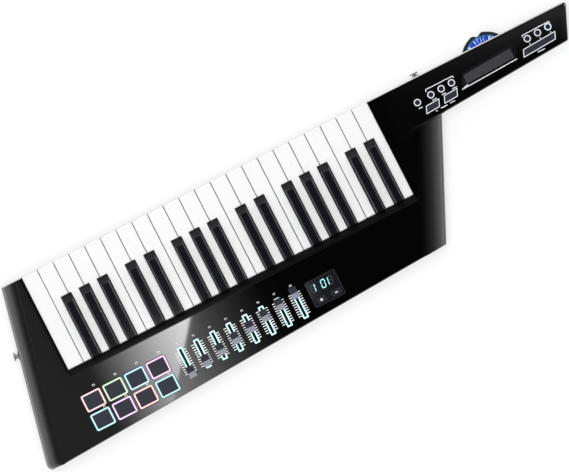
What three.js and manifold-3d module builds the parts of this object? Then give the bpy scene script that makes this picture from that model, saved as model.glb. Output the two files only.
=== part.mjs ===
import * as THREE from 'three';
import { mergeVertices } from 'three/addons/utils/BufferGeometryUtils.js';
import Module from 'manifold-3d';

const wasm = await Module();
wasm.setup();

// Keytar lying on its back with the keys up. All lengths are in millimetres.
// X runs from the body towards the neck, Y towards the front edge where the key lips are, Z up.
// Until the last lines the origin is the left end of the front edge, with the back at Z zero.

// Clearances and joining overlaps
const gap = 0.3;
const runningGap = 0.4;
const bite = 0.6;
const overrun = 2;

// Case: plan outline
const frontY = 2;
const leftCheek = 30.5;
const leftLean = 55.7;
const panelDepthLeft = 100;
const panelDepthRight = 68.5;
const rightCheek = 9;
const rootReach = 82.5;
const neckDepthRoot = 60;
const neckLength = 194;
const neckDepthTip = 49;
const tipLean = 21;
const frontCornerRadius = 1.5;
const leftFootRadius = 8;
const rightFootRadius = 2;
const neckRootRadius = 3;
const tipRadius = 4;

// Case: heights, wall and edge curves
const panelZ = 52;
const splitZ = 26;
const wall = 2.5;
const panelBevel = 1.2;
const rollBaseRise = 2;
const leftRollWidth = 23;
const rightRollWidth = 38;
const backRound = 8;
const backRise = 12;
const neckBackZ = 18;
const neckBackRound = 7.9;
const neckBackRiseShare = 0.9875;
const neckOverlap = 30;

// Keyboard
const whiteCount = 22;
const whitePitch = 23.5;
const whiteLength = 138;
const whiteDrop = 3;
const whiteTall = 18;
const keyGap = 0.9;
const keyFrontGap = 0.5;
const keyBevel = 0.7;
const keyWall = 1.8;
const keyRoof = 2.5;
const keyHollowEnd = 6.5;
const keyTravelDeg = 3.7;
const pivotBack = 7.5;
const pivotDrop = 15;
const pivotRadius = 3;
const pivotGap = 0.35;
const tailReach = 5;
const tailClearance = 0.6;
const blackFrontBack = 48.5;
const blackBaseWidth = 13.7;
const blackTopWidth = 9.5;
const blackRise = 11.5;
const blackFrontSlope = 8.5;
const blackTall = 13;
const blackTailNarrowing = 3.7;
const blackClearance = 0.9;
const blackFrontClearance = 1.5;
const blackOffsetShares = { cs: 0.085, ds: -0.106, fs: 0.115, gs: -0.03, as: -0.17 };

// Opening for the keys and the sloped bezel strip behind them
const openingSideGap = 0.5;
const bezelGap = 0.5;
const bezelDepth = 10.5;
const lipClearance = 1.9;

// Key frame
const framePlateZ = 8;
const framePlateThick = 3;
const frameFrontGap = 1.5;
const frameRearReach = 3;
const frameSideGap = 1;
const frameRibCount = 8;
const frameRibThick = 2;
const frameRibTall = 6;
const frameRibFromGuides = 14;
const frameRibFromPivot = 7;
const contactStripDepth = 28;
const contactStripFromRear = 24.5;
const contactStripThick = 2.6;
const whiteGuideBack = 21.5;
const blackGuideBack = 25;
const guideDepth = 6;
const whiteGuideWidth = 11;
const blackGuideWidth = 5;

// Drum pads
const padColumns = 4;
const padRows = 2;
const padFirstX = 42.8;
const padFirstBack = 40.3;
const padWidth = 28.5;
const padDepth = 24.5;
const padGapX = 3.7;
const padGapY = 3.5;
const padRadius = 3;
const padProud = 1;
const padBevel = 0.8;
const matMargin = 2.5;
const matThick = 3;

// Faders
const faderCount = 8;
const faderFromPads = 22.35;
const faderPitch = 24.2;
const faderLowBack = 66;
const faderTravel = 31.5;
const faderCapWidth = 10.5;
const faderCapLength = 15;
const faderCapTall = 6;
const faderCapSkirt = 1.8;
const faderRidge = 2.4;
const faderTopInset = 0.5;
const faderStemWidth = 2;
const faderStemLength = 4;
const faderSlotWidth = 4;
const faderSlotEnd = 1.6;
const faderHousingWidth = 8.4;
const faderHousingEnd = 3;
const faderHousingTall = 5.4;
const faderHousingFloor = 1.4;

// Display and the two value buttons
const displayFromFaders = 39.6;
const displayBack = 42;
const displayWidth = 32;
const displayDepth = 16;
const valueBack = 58.3;
const valueDepth = 8.5;
const plusLeft = 10.5;
const plusWidth = 13;
const minusRight = 11;
const minusWidth = 16;
const valueRadius = 1.5;
const buttonProud = 0.7;
const sheetMargin = 2;
const sheetThick = 2.5;

// Circuit board with its parts
const boardLeftX = 22;
const boardRightInset = 42.5;
const boardFromFrame = 3;
const boardEdgeGap = 8;
const boardDrop = 9.5;
const boardThick = 1.6;
const boardBossRadius = 3;
const socketFromFaders = 4;
const socketRecess = 3;
const socketFaceInset = 0.6;
const socketDepth = 9;
const powerSocketWidth = 12;
const usbSocketWidth = 13;
const midiSocketWidth = 19;
const jackSocketWidth = 14;
const socketSpacing = 11;
const socketHang = 10;
const smallSocketRise = 3;
const midiSocketDrop = 1.5;
const powerBoreRadius = 3.5;
const usbBoreWidth = 8.6;
const usbBoreTall = 7.6;
const midiBoreRadius = 7;
const jackBoreRadius = 3.3;

// Battery bay and its sliding door
const doorFromKeys = 84.5;
const doorMargin = 4;
const doorFromBezel = 15.5;
const cellRadius = 7.1;
const cellLength = 50;
const cellCount = 3;
const cellGap = 0.6;
const cellFloorGap = 1.2;
const holderWall = 2;
const holderRise = 12;

// Neck controls: places along X count from the neck's root
const roundFirst = -23;
const roundRise = 28;
const roundGroup = -2.3;
const roundFarGroup = 146;
const roundPitch = 15.8;
const roundGroupCount = 3;
const roundRadius = 4.6;
const webHalfWidth = 6;
const webLinkBack = 10.5;
const webLinkHalfWidth = 3;
const neckKeyRise = 14.6;
const neckKeyDepth = 10.3;
const neckKeyLean = 4.4;
const neckKeyProud = 1.4;
const octaveDown = -6.9;
const octaveUp = 20.8;
const octaveWidth = 20.5;
const sustain = 157;
const sustainWidth = 49.4;
const flangeMargin = 1.4;
const flangeThick = 1.6;
const ribbon = 82.7;
const ribbonRise = 23.5;
const ribbonWidth = 81;
const ribbonDepth = 20.5;
const ribbonLean = 6.5;
const ribbonRecess = 1.7;
const ribbonMargin = 2.4;
const ribbonThick = 1.1;

// Pitch wheel
const wheelFromRoot = 88.5;
const wheelBack = 20.5;
const wheelRadius = 35.3;
const wheelRise = 12;
const wheelThick = 8;
const wheelHubRadius = 9;
const wheelPostRadius = 4;
const wheelShoulderRadius = 7;
const wheelSectorDeg = 192;
const wheelSlotGap = 0.8;
const thumbNotchRadius = 9;
const thumbNotchDepth = 3;

// Strap buttons
const strapZ = 18;
const endStrapBack = 92;
const neckStrap = -9;
const strapFlangeRadius = 6.2;
const strapFlangeThick = 1.5;
const strapWaistRadius = 3.2;
const strapLength = 8;
const strapHeadThick = 2;
const neckStrapLength = 6.5;
const strapScrewRadius = 1.9;
const strapScrewLength = 7;
const strapBossRadius = 5;

// Screw bosses
const bossRadius = 3.6;
const frameBossRadius = 4.5;
const frameBossColumns = 4;
const frameBossInset = 30;
const frameBossFrontBack = 10;
const frameBossFromPivot = 5;

// Smoothness of round shapes
const circleSteps = 20;
const hiddenSteps = 12;
const cornerSteps = 3;
const rollSteps = 8;
const backSteps = 4;
const grooveSteps = 10;
const wheelSteps = 40;

// Places along X that follow from the sizes above
const keyboardWidth = whiteCount * whitePitch;
const keysLeftX = leftCheek;
const keysRightX = keysLeftX + keyboardWidth;
const openingLeftX = keysLeftX - openingSideGap;
const openingRightX = keysRightX + openingSideGap;
const leftFootX = -leftLean;
const rightFootX = keysRightX + rightCheek;
const neckRootX = keysRightX + rootReach;
const tipFootX = neckRootX + neckLength;
const tipX = tipFootX + tipLean;
const padPitchX = padWidth + padGapX;
const faderFirstX = padFirstX + padPitchX * (padColumns - 1) + padWidth / 2 + faderFromPads;
const displayX = faderFirstX + faderPitch * (faderCount - 1) + displayFromFaders;
const plusX = displayX - plusLeft;
const minusX = displayX + minusRight;
const boardRightX = keysRightX - boardRightInset;
const doorX = keysRightX - doorFromKeys;
const doorWidth = cellLength + (holderWall + doorMargin) * 2;
const roundFirstX = neckRootX + roundFirst;
const wheelX = neckRootX + wheelFromRoot;

// Places along Y
const keyFrontY = frontY - keyFrontGap;
const keyRearY = keyFrontY - whiteLength;
const keyHollowRearY = keyRearY + keyHollowEnd;
const blackFrontY = keyFrontY - blackFrontBack;
const bezelFrontY = keyRearY - bezelGap;
const bezelRearY = bezelFrontY - bezelDepth;
const pivotY = bezelRearY - pivotBack;
const keyTailY = pivotY - tailReach;
const whiteGuideY = keyFrontY - whiteGuideBack;
const blackGuideY = blackFrontY - blackGuideBack;
const frameFrontY = frontY - wall - frameFrontGap;
const frameRearY = keyTailY - frameRearReach;
const contactStripRearY = keyRearY + contactStripFromRear;
const leftFootY = bezelRearY - panelDepthLeft;
const rightFootY = bezelRearY - panelDepthRight;
const neckRootY = frontY - neckDepthRoot;
const tipFootY = frontY - neckDepthTip;
const padPitchY = padDepth + padGapY;
const padFirstY = bezelRearY - padFirstBack;
const faderLowY = bezelRearY - faderLowBack;
const displayY = bezelRearY - displayBack;
const valueY = bezelRearY - valueBack;
const boardRearY = frameRearY - boardFromFrame;
const doorInnerY = bezelRearY - doorFromBezel;
const cellPitch = cellRadius * 2 + cellGap;
const cellFirstY = frameRearY - gap - holderWall - cellRadius - cellPitch * (cellCount - 1);
const roundFirstY = neckRootY + roundRise;
const webLinkY = frontY - webLinkBack;
const wheelY = frontY - wheelBack;

// Places along Z
const panelUnderZ = panelZ - wall;
const rollBaseZ = splitZ + rollBaseRise;
const whiteTopZ = panelZ - whiteDrop;
const whiteSkirtZ = whiteTopZ - whiteTall;
const keyTailTopZ = whiteTopZ - wall - tailClearance;
const pivotZ = whiteTopZ - pivotDrop;
const blackTopZ = whiteTopZ + blackRise;
const blackSkirtZ = whiteTopZ - blackTall;
const frameTopZ = framePlateZ + framePlateThick;
const boardZ = panelUnderZ - boardDrop;
const boardTopZ = boardZ + boardThick;
const socketLowZ = boardZ - socketHang;
const smallSocketTopZ = boardZ + smallSocketRise;
const midiSocketTopZ = panelUnderZ - midiSocketDrop;
const doorThick = wall + gap;
const cellLowZ = doorThick + cellFloorGap;
const holderTopZ = cellLowZ + holderRise;
const wheelLowZ = neckBackZ + wheelRise;

// Slopes and turns
const neckSlope = (tipFootY - neckRootY) / (tipFootX - neckRootX);
const footSlope = (rightFootY - leftFootY) / (rightFootX - leftFootX);
const footTurn = Math.atan(footSlope);
const keyTravel = THREE.MathUtils.degToRad(keyTravelDeg);
const lipWallZ = whiteSkirtZ - (keyFrontY - pivotY) * Math.sin(keyTravel) - lipClearance;

/** A point in plan. */
function at(x, y) {
  return new THREE.Vector2(x, y);
}

/** Height of the neck's lower edge in Y at a place along X. */
function neckEdgeY(x) {
  return neckRootY + (x - neckRootX) * neckSlope;
}

/** Height of the body's lower edge in Y at a place along X. */
function footEdgeY(x) {
  return leftFootY + (x - leftFootX) * footSlope;
}

// Plan curves

/** Moves each edge of a counter-clockwise polygon inwards by its own amount and returns the new corners. */
function insetCorners(corners, insets) {
  const lines = corners.map((from, i) => {
    const along = corners[(i + 1) % corners.length].clone().sub(from).normalize();
    const inwards = at(-along.y, along.x);
    return { from: from.clone().addScaledVector(inwards, insets[i]), along };
  });
  return lines.map((line, i) => {
    const before = lines[(i + lines.length - 1) % lines.length];
    const apart = line.from.clone().sub(before.from);
    const reach = apart.cross(line.along) / before.along.cross(line.along);
    return before.from.clone().addScaledVector(before.along, reach);
  });
}

/** Moves every edge of a polygon inwards by the same amount. */
function shrink(corners, inset) {
  return insetCorners(corners, corners.map(() => inset));
}

/** Replaces each corner by an arc that touches both of its edges. */
function roundCorners(corners, radii) {
  return corners.flatMap((corner, i) => {
    const back = corners[(i + corners.length - 1) % corners.length].clone().sub(corner).normalize();
    const on = corners[(i + 1) % corners.length].clone().sub(corner).normalize();
    const half = Math.acos(back.dot(on)) / 2;
    const middle = back.clone().add(on).normalize();
    const centre = corner.clone().addScaledVector(middle, radii[i] / Math.sin(half));
    const start = corner.clone().addScaledVector(back, radii[i] / Math.tan(half)).sub(centre);
    const end = corner.clone().addScaledVector(on, radii[i] / Math.tan(half)).sub(centre);
    const sweep = Math.atan2(start.cross(end), start.dot(end));
    return Array.from({ length: cornerSteps + 1 }, (_, step) =>
      start.clone().rotateAround(at(0, 0), (sweep * step) / cornerSteps).add(centre));
  });
}

/** Corners of a rectangle about a centre. */
function rectangle(x, y, width, depth) {
  const corners = [at(x - width / 2, y + depth / 2), at(x - width / 2, y - depth / 2)];
  return corners.concat([at(x + width / 2, y - depth / 2), at(x + width / 2, y + depth / 2)]);
}

/** Rectangle with rounded corners. */
function roundedRectangle(x, y, width, depth, radius) {
  return roundCorners(rectangle(x, y, width, depth), [radius, radius, radius, radius]);
}

/** Circle about a centre. */
function circle(x, y, radius, steps = circleSteps) {
  return Array.from({ length: steps }, (_, i) => {
    const angle = (i / steps) * Math.PI * 2;
    return at(x + radius * Math.cos(angle), y + radius * Math.sin(angle));
  });
}

/** Parallelogram that follows the slope of the neck's lower edge, its upper side moved along by the lean. */
function leaning(x, rise, width, depth, lean) {
  const y = neckEdgeY(x) + rise;
  const low = [[-width - lean, -depth], [width - lean, -depth]];
  const shape = [...low, [width + lean, depth], [-width + lean, depth]];
  return shape.map(([across, up]) => at(x + across / 2, y + up / 2 + (across / 2) * neckSlope));
}

// Solids

/** Closed surface through rings of equal count, from the lowest to the highest. */
function loft(rings) {
  const count = rings[0].points.length;
  const positions = rings.flatMap(({ points, z }) => points.flatMap((p) => [p.x, p.y, z]));
  const faces = [];
  for (let ring = 0; ring + 1 < rings.length; ring += 1) {
    for (let i = 0; i < count; i += 1) {
      const a = ring * count + i;
      const b = ring * count + ((i + 1) % count);
      faces.push(a, b, b + count, a, b + count, a + count);
    }
  }
  const last = (rings.length - 1) * count;
  THREE.ShapeUtils.triangulateShape(rings[0].points, []).forEach(([a, b, c]) => faces.push(a, c, b));
  THREE.ShapeUtils.triangulateShape(rings[rings.length - 1].points, [])
    .forEach(([a, b, c]) => faces.push(last + a, last + b, last + c));
  const geometry = new THREE.BufferGeometry();
  geometry.setAttribute('position', new THREE.Float32BufferAttribute(positions, 3));
  geometry.setIndex(faces);
  return geometry;
}

/** Turns a welded three.js geometry into a solid for joining and cutting. */
function solid(geometry) {
  const bare = geometry.clone();
  bare.deleteAttribute('normal');
  bare.deleteAttribute('uv');
  const welded = mergeVertices(bare);
  return new wasm.Manifold(new wasm.Mesh({
    numProp: 3,
    vertProperties: new Float32Array(welded.attributes.position.array),
    triVerts: new Uint32Array(welded.index.array),
  }));
}

/** Upright prism of a plan shape. */
function prism(points, low, high) {
  return solid(loft([{ points, z: low }, { points, z: high }]));
}

/** Prism with a small bevel round its top face. */
function bevelled(corners, low, high, bevel, round = (points) => points) {
  return solid(loft([
    { points: round(corners), z: low },
    { points: round(corners), z: high - bevel },
    { points: round(shrink(corners, bevel)), z: high },
  ]));
}

/** Block between two places on each axis. */
function block(x, y, z) {
  return prism(rectangle((x[0] + x[1]) / 2, (y[0] + y[1]) / 2, x[1] - x[0], y[1] - y[0]), z[0], z[1]);
}

/** Round post standing on the plan. */
function post(x, y, radius, low, high, steps = circleSteps) {
  return prism(circle(x, y, radius, steps), low, high);
}

/** Prism along X of a shape whose points hold Y and Z. */
function barAlongX(points, start, end) {
  const geometry = loft([{ points, z: start }, { points, z: end }]);
  const turn = new THREE.Matrix4().set(0, 0, 1, 0, 1, 0, 0, 0, 0, 1, 0, 0, 0, 0, 0, 1);
  return solid(geometry.applyMatrix4(turn));
}

/** Round solid about an axis that starts at a place and points along a direction. */
function turned(profile, place, direction) {
  const geometry = loft(profile.map(([radius, z]) => ({ points: circle(0, 0, radius), z })));
  const turn = new THREE.Quaternion().setFromUnitVectors(new THREE.Vector3(0, 0, 1), direction);
  geometry.applyQuaternion(turn);
  return solid(geometry.translate(place.x, place.y, place.z));
}

/** Joins a list of solids. */
function join(solids) {
  return solids.reduce((whole, piece) => whole.add(piece));
}

/** Cuts each of a list of solids from one. */
function cut(body, tools) {
  return tools.reduce((left, tool) => left.subtract(tool), body);
}

// Finishes
const finishes = {
  glossCase: new THREE.MeshStandardMaterial({ color: 0x0b0b0d, roughness: 0.12, metalness: 0 }),
  mattCase: new THREE.MeshStandardMaterial({ color: 0x141416, roughness: 0.55, metalness: 0 }),
  whiteKey: new THREE.MeshStandardMaterial({ color: 0xf2f2ee, roughness: 0.3, metalness: 0 }),
  blackKey: new THREE.MeshStandardMaterial({ color: 0x0c0c0d, roughness: 0.35, metalness: 0 }),
  frame: new THREE.MeshStandardMaterial({ color: 0x2a2a2c, roughness: 0.7, metalness: 0 }),
  board: new THREE.MeshStandardMaterial({ color: 0x1d4a2c, roughness: 0.6, metalness: 0.1 }),
  silicone: new THREE.MeshStandardMaterial({ color: 0x464653, roughness: 0.6, metalness: 0 }),
  slate: new THREE.MeshStandardMaterial({ color: 0x45454f, roughness: 0.5, metalness: 0 }),
  faderCap: new THREE.MeshStandardMaterial({ color: 0x7b7b88, roughness: 0.45, metalness: 0 }),
  ribbon: new THREE.MeshStandardMaterial({ color: 0x4b4b4e, roughness: 0.45, metalness: 0 }),
  wheel: new THREE.MeshStandardMaterial({ color: 0x2b54d8, roughness: 0.2, metalness: 0 }),
  chrome: new THREE.MeshStandardMaterial({ color: 0xc9ccd0, roughness: 0.12, metalness: 1 }),
};

const group = new THREE.Group();

/** Adds a finished solid to the model as a named mesh. */
function addPiece(name, body, material) {
  const { vertProperties, triVerts } = body.getMesh();
  const indexed = new THREE.BufferGeometry();
  indexed.setAttribute('position', new THREE.BufferAttribute(new Float32Array(vertProperties), 3));
  indexed.setIndex(new THREE.BufferAttribute(new Uint32Array(triVerts), 1));
  const geometry = indexed.toNonIndexed();
  geometry.computeVertexNormals();
  const mesh = new THREE.Mesh(geometry, material);
  mesh.name = name;
  group.add(mesh);
}

// Case

const outline = [
  at(0, frontY),
  at(leftFootX, leftFootY),
  at(rightFootX, rightFootY),
  at(neckRootX, neckRootY),
  at(tipFootX, tipFootY),
  at(tipX, frontY),
];
const outlineRadii = [
  frontCornerRadius, leftFootRadius, rightFootRadius, neckRootRadius, tipRadius, tipRadius,
];

/** Plan ring of the top cover: the left and right body edges roll over, the others stay upright. */
function coverRing(leftInset, rightInset, edgeInset) {
  const insets = [leftInset, edgeInset, rightInset, edgeInset, edgeInset, edgeInset];
  return roundCorners(insetCorners(outline, insets), outlineRadii);
}

/** Top cover's outer form, or with a wall thickness the hollow inside it. */
function coverForm(thickness) {
  const startZ = splitZ - (thickness > 0 ? overrun : 0);
  const rings = [{ points: coverRing(thickness, thickness, thickness), z: startZ }];
  for (let step = 0; step <= rollSteps; step += 1) {
    const angle = (step / rollSteps) * (Math.PI / 2);
    const z = rollBaseZ + (panelZ - rollBaseZ - thickness) * Math.sin(angle);
    const bevel = thickness > 0 ? 0 : Math.max(0, z + panelBevel - panelZ);
    const left = leftRollWidth - (leftRollWidth - thickness) * Math.cos(angle);
    const right = rightRollWidth - (rightRollWidth - thickness) * Math.cos(angle);
    rings.push({ points: coverRing(left, right, thickness + bevel), z });
  }
  return solid(loft(rings));
}

/** Rear form of one part of the case, rounded towards the back; a thickness gives the hollow inside it. */
function backForm(corners, radii, backZ, round, rise, thickness) {
  const rings = [];
  for (let step = 0; step <= backSteps; step += 1) {
    const angle = (step / backSteps) * (Math.PI / 2);
    const inset = round - (round - thickness) * Math.sin(angle);
    const z = backZ + rise - (rise - thickness) * Math.cos(angle);
    rings.push({ points: roundCorners(shrink(corners, inset), radii), z });
  }
  const top = splitZ + (thickness > 0 ? overrun : 0);
  rings.push({ points: roundCorners(shrink(corners, thickness), radii), z: top });
  return solid(loft(rings));
}

/** Body and neck of the rear cover joined, as outer form or as hollow. */
function rearForm(thickness) {
  const edgeRun = (frontY - neckRootY) * (neckRootX - rightFootX) / (neckRootY - rightFootY);
  const bodyCorners = [outline[0], outline[1], outline[2], at(neckRootX + edgeRun, frontY)];
  const bodyRadii = [frontCornerRadius, leftFootRadius, rightFootRadius, frontCornerRadius];
  const overlapX = neckRootX - neckOverlap;
  const neckCorners = [
    at(overlapX, frontY),
    at(overlapX, neckEdgeY(overlapX)),
    outline[4],
    outline[5],
  ];
  const neckRadii = [frontCornerRadius, frontCornerRadius, tipRadius, tipRadius];
  const body = backForm(bodyCorners, bodyRadii, 0, backRound, backRise, thickness);
  const neckRise = (splitZ - neckBackZ) * neckBackRiseShare;
  const neck = backForm(neckCorners, neckRadii, neckBackZ, neckBackRound, neckRise, thickness);
  return body.add(neck);
}

/** Plan places of the bosses that hold the two covers together, clear of the keys, boards and wheel. */
function coverBossPlaces() {
  const inset = bossRadius + wall + bossRadius;
  return [
    at(openingLeftX - wall - bossRadius - gap * 2, frontY - inset - bossRadius),
    at(openingLeftX / 2 - inset, bezelRearY),
    at(leftFootX / 2 + inset / 2, leftFootY + inset + bossRadius),
    at(boardRightX + bossRadius + wall, footEdgeY(boardRightX) + inset + bossRadius),
    at(openingRightX + inset, pivotY / 2),
    at(neckRootX - inset * 2, frontY - inset - bossRadius),
    at(neckRootX + octaveUp + octaveWidth + inset - bossRadius, neckEdgeY(neckRootX + octaveUp) + inset + gap),
    at(tipX - inset - bossRadius * 2, (frontY + tipFootY) / 3),
  ];
}

/** Plan places of the bosses under the top panel that hold the circuit board. */
function boardBossPlaces() {
  const rightOfPads = (padFirstX + padPitchX * (padColumns - 1) + padWidth / 2 + faderFirstX) / 2;
  const rightOfFaders = faderFirstX + faderPitch * (faderCount - 1) + faderCapWidth;
  const rearRow = boardRearY - boardBossRadius * 2;
  const rightColumn = boardRightX - boardBossRadius * 2;
  return [
    at(rightOfPads, rearRow),
    at(rightOfPads, footEdgeY(rightOfPads) + boardEdgeGap + boardBossRadius * 2),
    at(rightOfFaders, rearRow),
    at(rightOfFaders, footEdgeY(rightOfFaders) + boardEdgeGap + boardBossRadius * 2),
    at(rightColumn, rearRow),
    at(rightColumn, footEdgeY(rightColumn) + boardEdgeGap + boardBossRadius * 2),
  ];
}

/** Sloped strip of the top cover behind the keys. */
function bezelStrip() {
  const profile = [
    at(bezelRearY - bite, panelUnderZ),
    at(bezelRearY, panelUnderZ),
    at(bezelFrontY, whiteTopZ - wall),
    at(bezelFrontY, whiteTopZ),
    at(bezelRearY, panelZ),
    at(bezelRearY - bite, panelZ),
  ];
  return barAlongX(profile, openingLeftX - bite, openingRightX + bite);
}

/** Cuts in the top cover for the pads, faders, display and value buttons. */
function panelCuts() {
  const low = panelUnderZ - overrun;
  const high = panelZ + overrun;
  const widen = runningGap * 2;
  const pads = padPlaces().map(({ x, y }) =>
    prism(roundedRectangle(x, y, padWidth + widen, padDepth + widen, padRadius), low, high));
  const slots = faderPlaces().map(({ x }) => {
    const end = faderStemLength / 2 + faderSlotEnd;
    const across = [x - faderSlotWidth / 2, x + faderSlotWidth / 2];
    return block(across, [faderLowY - end, faderLowY + faderTravel + end], [low, high]);
  });
  const values = valueButtons().map(({ x, width }) =>
    prism(roundedRectangle(x, valueY, width + widen, valueDepth + widen, valueRadius), low, high));
  const display = prism(rectangle(displayX, displayY, displayWidth + widen, displayDepth + widen), low, high);
  return [...pads, ...slots, ...values, display];
}

/** Cuts in the top cover for the controls on the neck. */
function neckCuts() {
  const low = panelUnderZ - overrun;
  const high = panelZ + overrun;
  const rounds = roundPlaces().map(({ x, y }) => post(x, y, roundRadius + runningGap, low, high));
  const keys = neckKeys().map(({ x, width }) =>
    prism(shrink(leaning(x, neckKeyRise, width, neckKeyDepth, neckKeyLean), -runningGap), low, high));
  const recess = prism(ribbonShape(), panelZ - ribbonRecess, high);
  const edgeReach = frontY - wall - wheelY;
  const half = Math.sqrt(wheelRadius ** 2 - edgeReach ** 2) + wheelSlotGap;
  const slot = block(
    [wheelX - half, wheelX + half],
    [frontY - wall - overrun, frontY + overrun],
    [wheelLowZ - wheelSlotGap, wheelLowZ + wheelThick + wheelSlotGap],
  );
  return [...rounds, ...keys, recess, slot];
}

/** Top cover: glossy panel with its walls, cheeks and neck top. */
function topCover() {
  const surround = block(
    [openingLeftX - wall, openingRightX + wall],
    [bezelRearY, frontY + overrun],
    [splitZ - overrun * 2, panelZ + overrun],
  );
  const opening = block(
    [openingLeftX, openingRightX],
    [bezelRearY, frontY + overrun * 2],
    [splitZ - overrun * 2, panelZ + overrun],
  );
  const shell = coverForm(0).subtract(coverForm(wall).subtract(surround)).subtract(opening);
  const bosses = boardBossPlaces().map(({ x, y }) =>
    post(x, y, boardBossRadius, boardTopZ + gap, panelUnderZ + bite, hiddenSteps));
  const body = join([shell, bezelStrip(), ...bosses]);
  return cut(body, [...panelCuts(), ...neckCuts(), ...socketCuts()]);
}

/** Rear cover: back shell with bosses, the wheel's post and the battery bay. */
function rearCover() {
  const shell = rearForm(0).subtract(rearForm(wall));
  const bosses = coverBossPlaces().map(({ x, y }) => {
    const low = (x > neckRootX ? neckBackZ : 0) + wall - bite;
    return post(x, y, bossRadius, low, panelUnderZ - gap, hiddenSteps);
  });
  const frameBosses = frameBossPlaces().map(({ x, y }) =>
    post(x, y, frameBossRadius, wall - bite, framePlateZ - gap, hiddenSteps));
  const cheekRibs = [openingLeftX - wall, openingRightX].map((x) =>
    block([x, x + wall], [bezelRearY, frontY - wall + bite], [wall - bite, splitZ - gap]));
  const wheelPost = [
    post(wheelX, wheelY, wheelShoulderRadius, neckBackZ + wall - bite, wheelLowZ - gap),
    post(wheelX, wheelY, wheelPostRadius, wheelLowZ - bite, wheelLowZ + wheelThick + wall),
  ];
  const straps = strapPlaces().map(({ place, direction }) =>
    turned([[strapBossRadius, -strapScrewLength - wall], [strapBossRadius, -wall / 2]], place, direction));
  const lipCut = block(
    [openingLeftX, openingRightX],
    [frontY - wall - overrun, frontY + overrun],
    [lipWallZ, splitZ + overrun],
  );
  const screwHoles = strapPlaces().map(({ place, direction }) => {
    const radius = strapScrewRadius + gap;
    return turned([[radius, -strapScrewLength - gap], [radius, overrun]], place, direction);
  });
  const body = join([shell, ...bosses, ...frameBosses, ...cheekRibs, ...wheelPost, ...straps]);
  return cut(body, [lipCut, ...screwHoles, doorBlock(runningGap)]);
}

/** Space of the battery door in the back, widened by a clearance. */
function doorBlock(clearance) {
  const half = doorWidth / 2 + clearance;
  return block(
    [doorX - half, doorX + half],
    [leftFootY - overrun, doorInnerY + clearance],
    [-overrun, doorThick + clearance],
  );
}

/** Battery door: slides out over the body's lower edge and keeps the rounded form of the back. */
function batteryDoor() {
  return rearForm(0).intersect(doorBlock(0));
}

// Keyboard

const octave = ['c', 'd', 'e', 'f', 'g', 'a', 'b'];
const sharpAfter = { c: 'cs', d: 'ds', f: 'fs', g: 'gs', a: 'as' };

/** Name of a white key counted from the lowest, which lies nearest the neck. */
function whiteNote(index) {
  return { note: octave[index % octave.length], octaveNumber: Math.floor(index / octave.length) + 1 };
}

/** Left edge in X of a white key counted from the lowest. */
function whiteLeft(index) {
  return keysLeftX + (whiteCount - 1 - index) * whitePitch;
}

/** Centre in X of the black key above a white key, or null where there is none. */
function blackCentre(index) {
  const sharp = sharpAfter[whiteNote(index).note];
  if (!sharp || index < 0 || index + 1 >= whiteCount) {
    return null;
  }
  return whiteLeft(index) + whitePitch * blackOffsetShares[sharp];
}

/** Groove of a key's tail that rocks on the rail of the frame. */
function pivotGroove(start, end) {
  return barAlongX(circle(pivotY, pivotZ, pivotRadius + pivotGap, grooveSteps * 2), start, end);
}

/** Tail of a key, with the groove for the rail, reaching forwards to join the key's body. */
function keyTail(left, right) {
  const body = block([left, right], [keyTailY, keyRearY + bite], [pivotZ, keyTailTopZ]);
  return body.subtract(pivotGroove(left - overrun, right + overrun));
}

/** Plan of a white key: full width in front, narrowed beside the black keys behind. */
function whitePlan(index) {
  const left = whiteLeft(index) + keyGap / 2;
  const right = left + whitePitch - keyGap;
  const notchY = blackFrontY + blackFrontClearance;
  const reach = blackBaseWidth / 2 + blackClearance;
  const leftBlack = blackCentre(index);
  const rightBlack = blackCentre(index - 1);
  const narrowLeft = leftBlack === null ? left : leftBlack + reach;
  const narrowRight = rightBlack === null ? right : rightBlack - reach;
  const points = [at(left, keyFrontY)];
  if (leftBlack !== null) {
    points.push(at(left, notchY), at(narrowLeft, notchY));
  }
  points.push(at(narrowLeft, keyRearY), at(narrowRight, keyRearY));
  if (rightBlack !== null) {
    points.push(at(narrowRight, notchY), at(right, notchY));
  }
  points.push(at(right, keyFrontY));
  return { points, narrowLeft, narrowRight };
}

/** White key: hollow below, bevelled above, with a rocking tail. */
function whiteKey(index) {
  const { points, narrowLeft, narrowRight } = whitePlan(index);
  const outer = bevelled(points, whiteSkirtZ, whiteTopZ, keyBevel);
  const inner = prism(shrink(points, keyWall), whiteSkirtZ - overrun, whiteTopZ - keyRoof);
  const solidRear = block(
    [narrowLeft, narrowRight], [keyRearY, keyHollowRearY], [whiteSkirtZ - overrun, whiteTopZ - keyBevel],
  );
  return outer.subtract(inner.subtract(solidRear)).add(keyTail(narrowLeft, narrowRight));
}

/** Black key: tapered with a sloped front, hollow below, with a rocking tail. */
function blackKey(centre) {
  const length = blackFrontY - keyRearY;
  const middleY = (blackFrontY + keyRearY) / 2;
  const base = rectangle(centre, middleY, blackBaseWidth, length);
  const topLength = length - blackFrontSlope;
  const topMiddleY = middleY - blackFrontSlope / 2;
  const outer = solid(loft([
    { points: base, z: blackSkirtZ },
    { points: base, z: whiteTopZ },
    { points: rectangle(centre, topMiddleY, blackTopWidth + keyBevel, topLength), z: blackTopZ - keyBevel },
    { points: rectangle(centre, topMiddleY, blackTopWidth - keyBevel, topLength - keyBevel), z: blackTopZ },
  ]));
  const inner = block(
    [centre - blackBaseWidth / 2 + keyWall, centre + blackBaseWidth / 2 - keyWall],
    [keyHollowRearY, blackFrontY - keyWall],
    [blackSkirtZ - overrun, whiteTopZ - keyWall],
  );
  const half = (blackBaseWidth - blackTailNarrowing) / 2;
  return outer.subtract(inner).add(keyTail(centre - half, centre + half));
}

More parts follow.
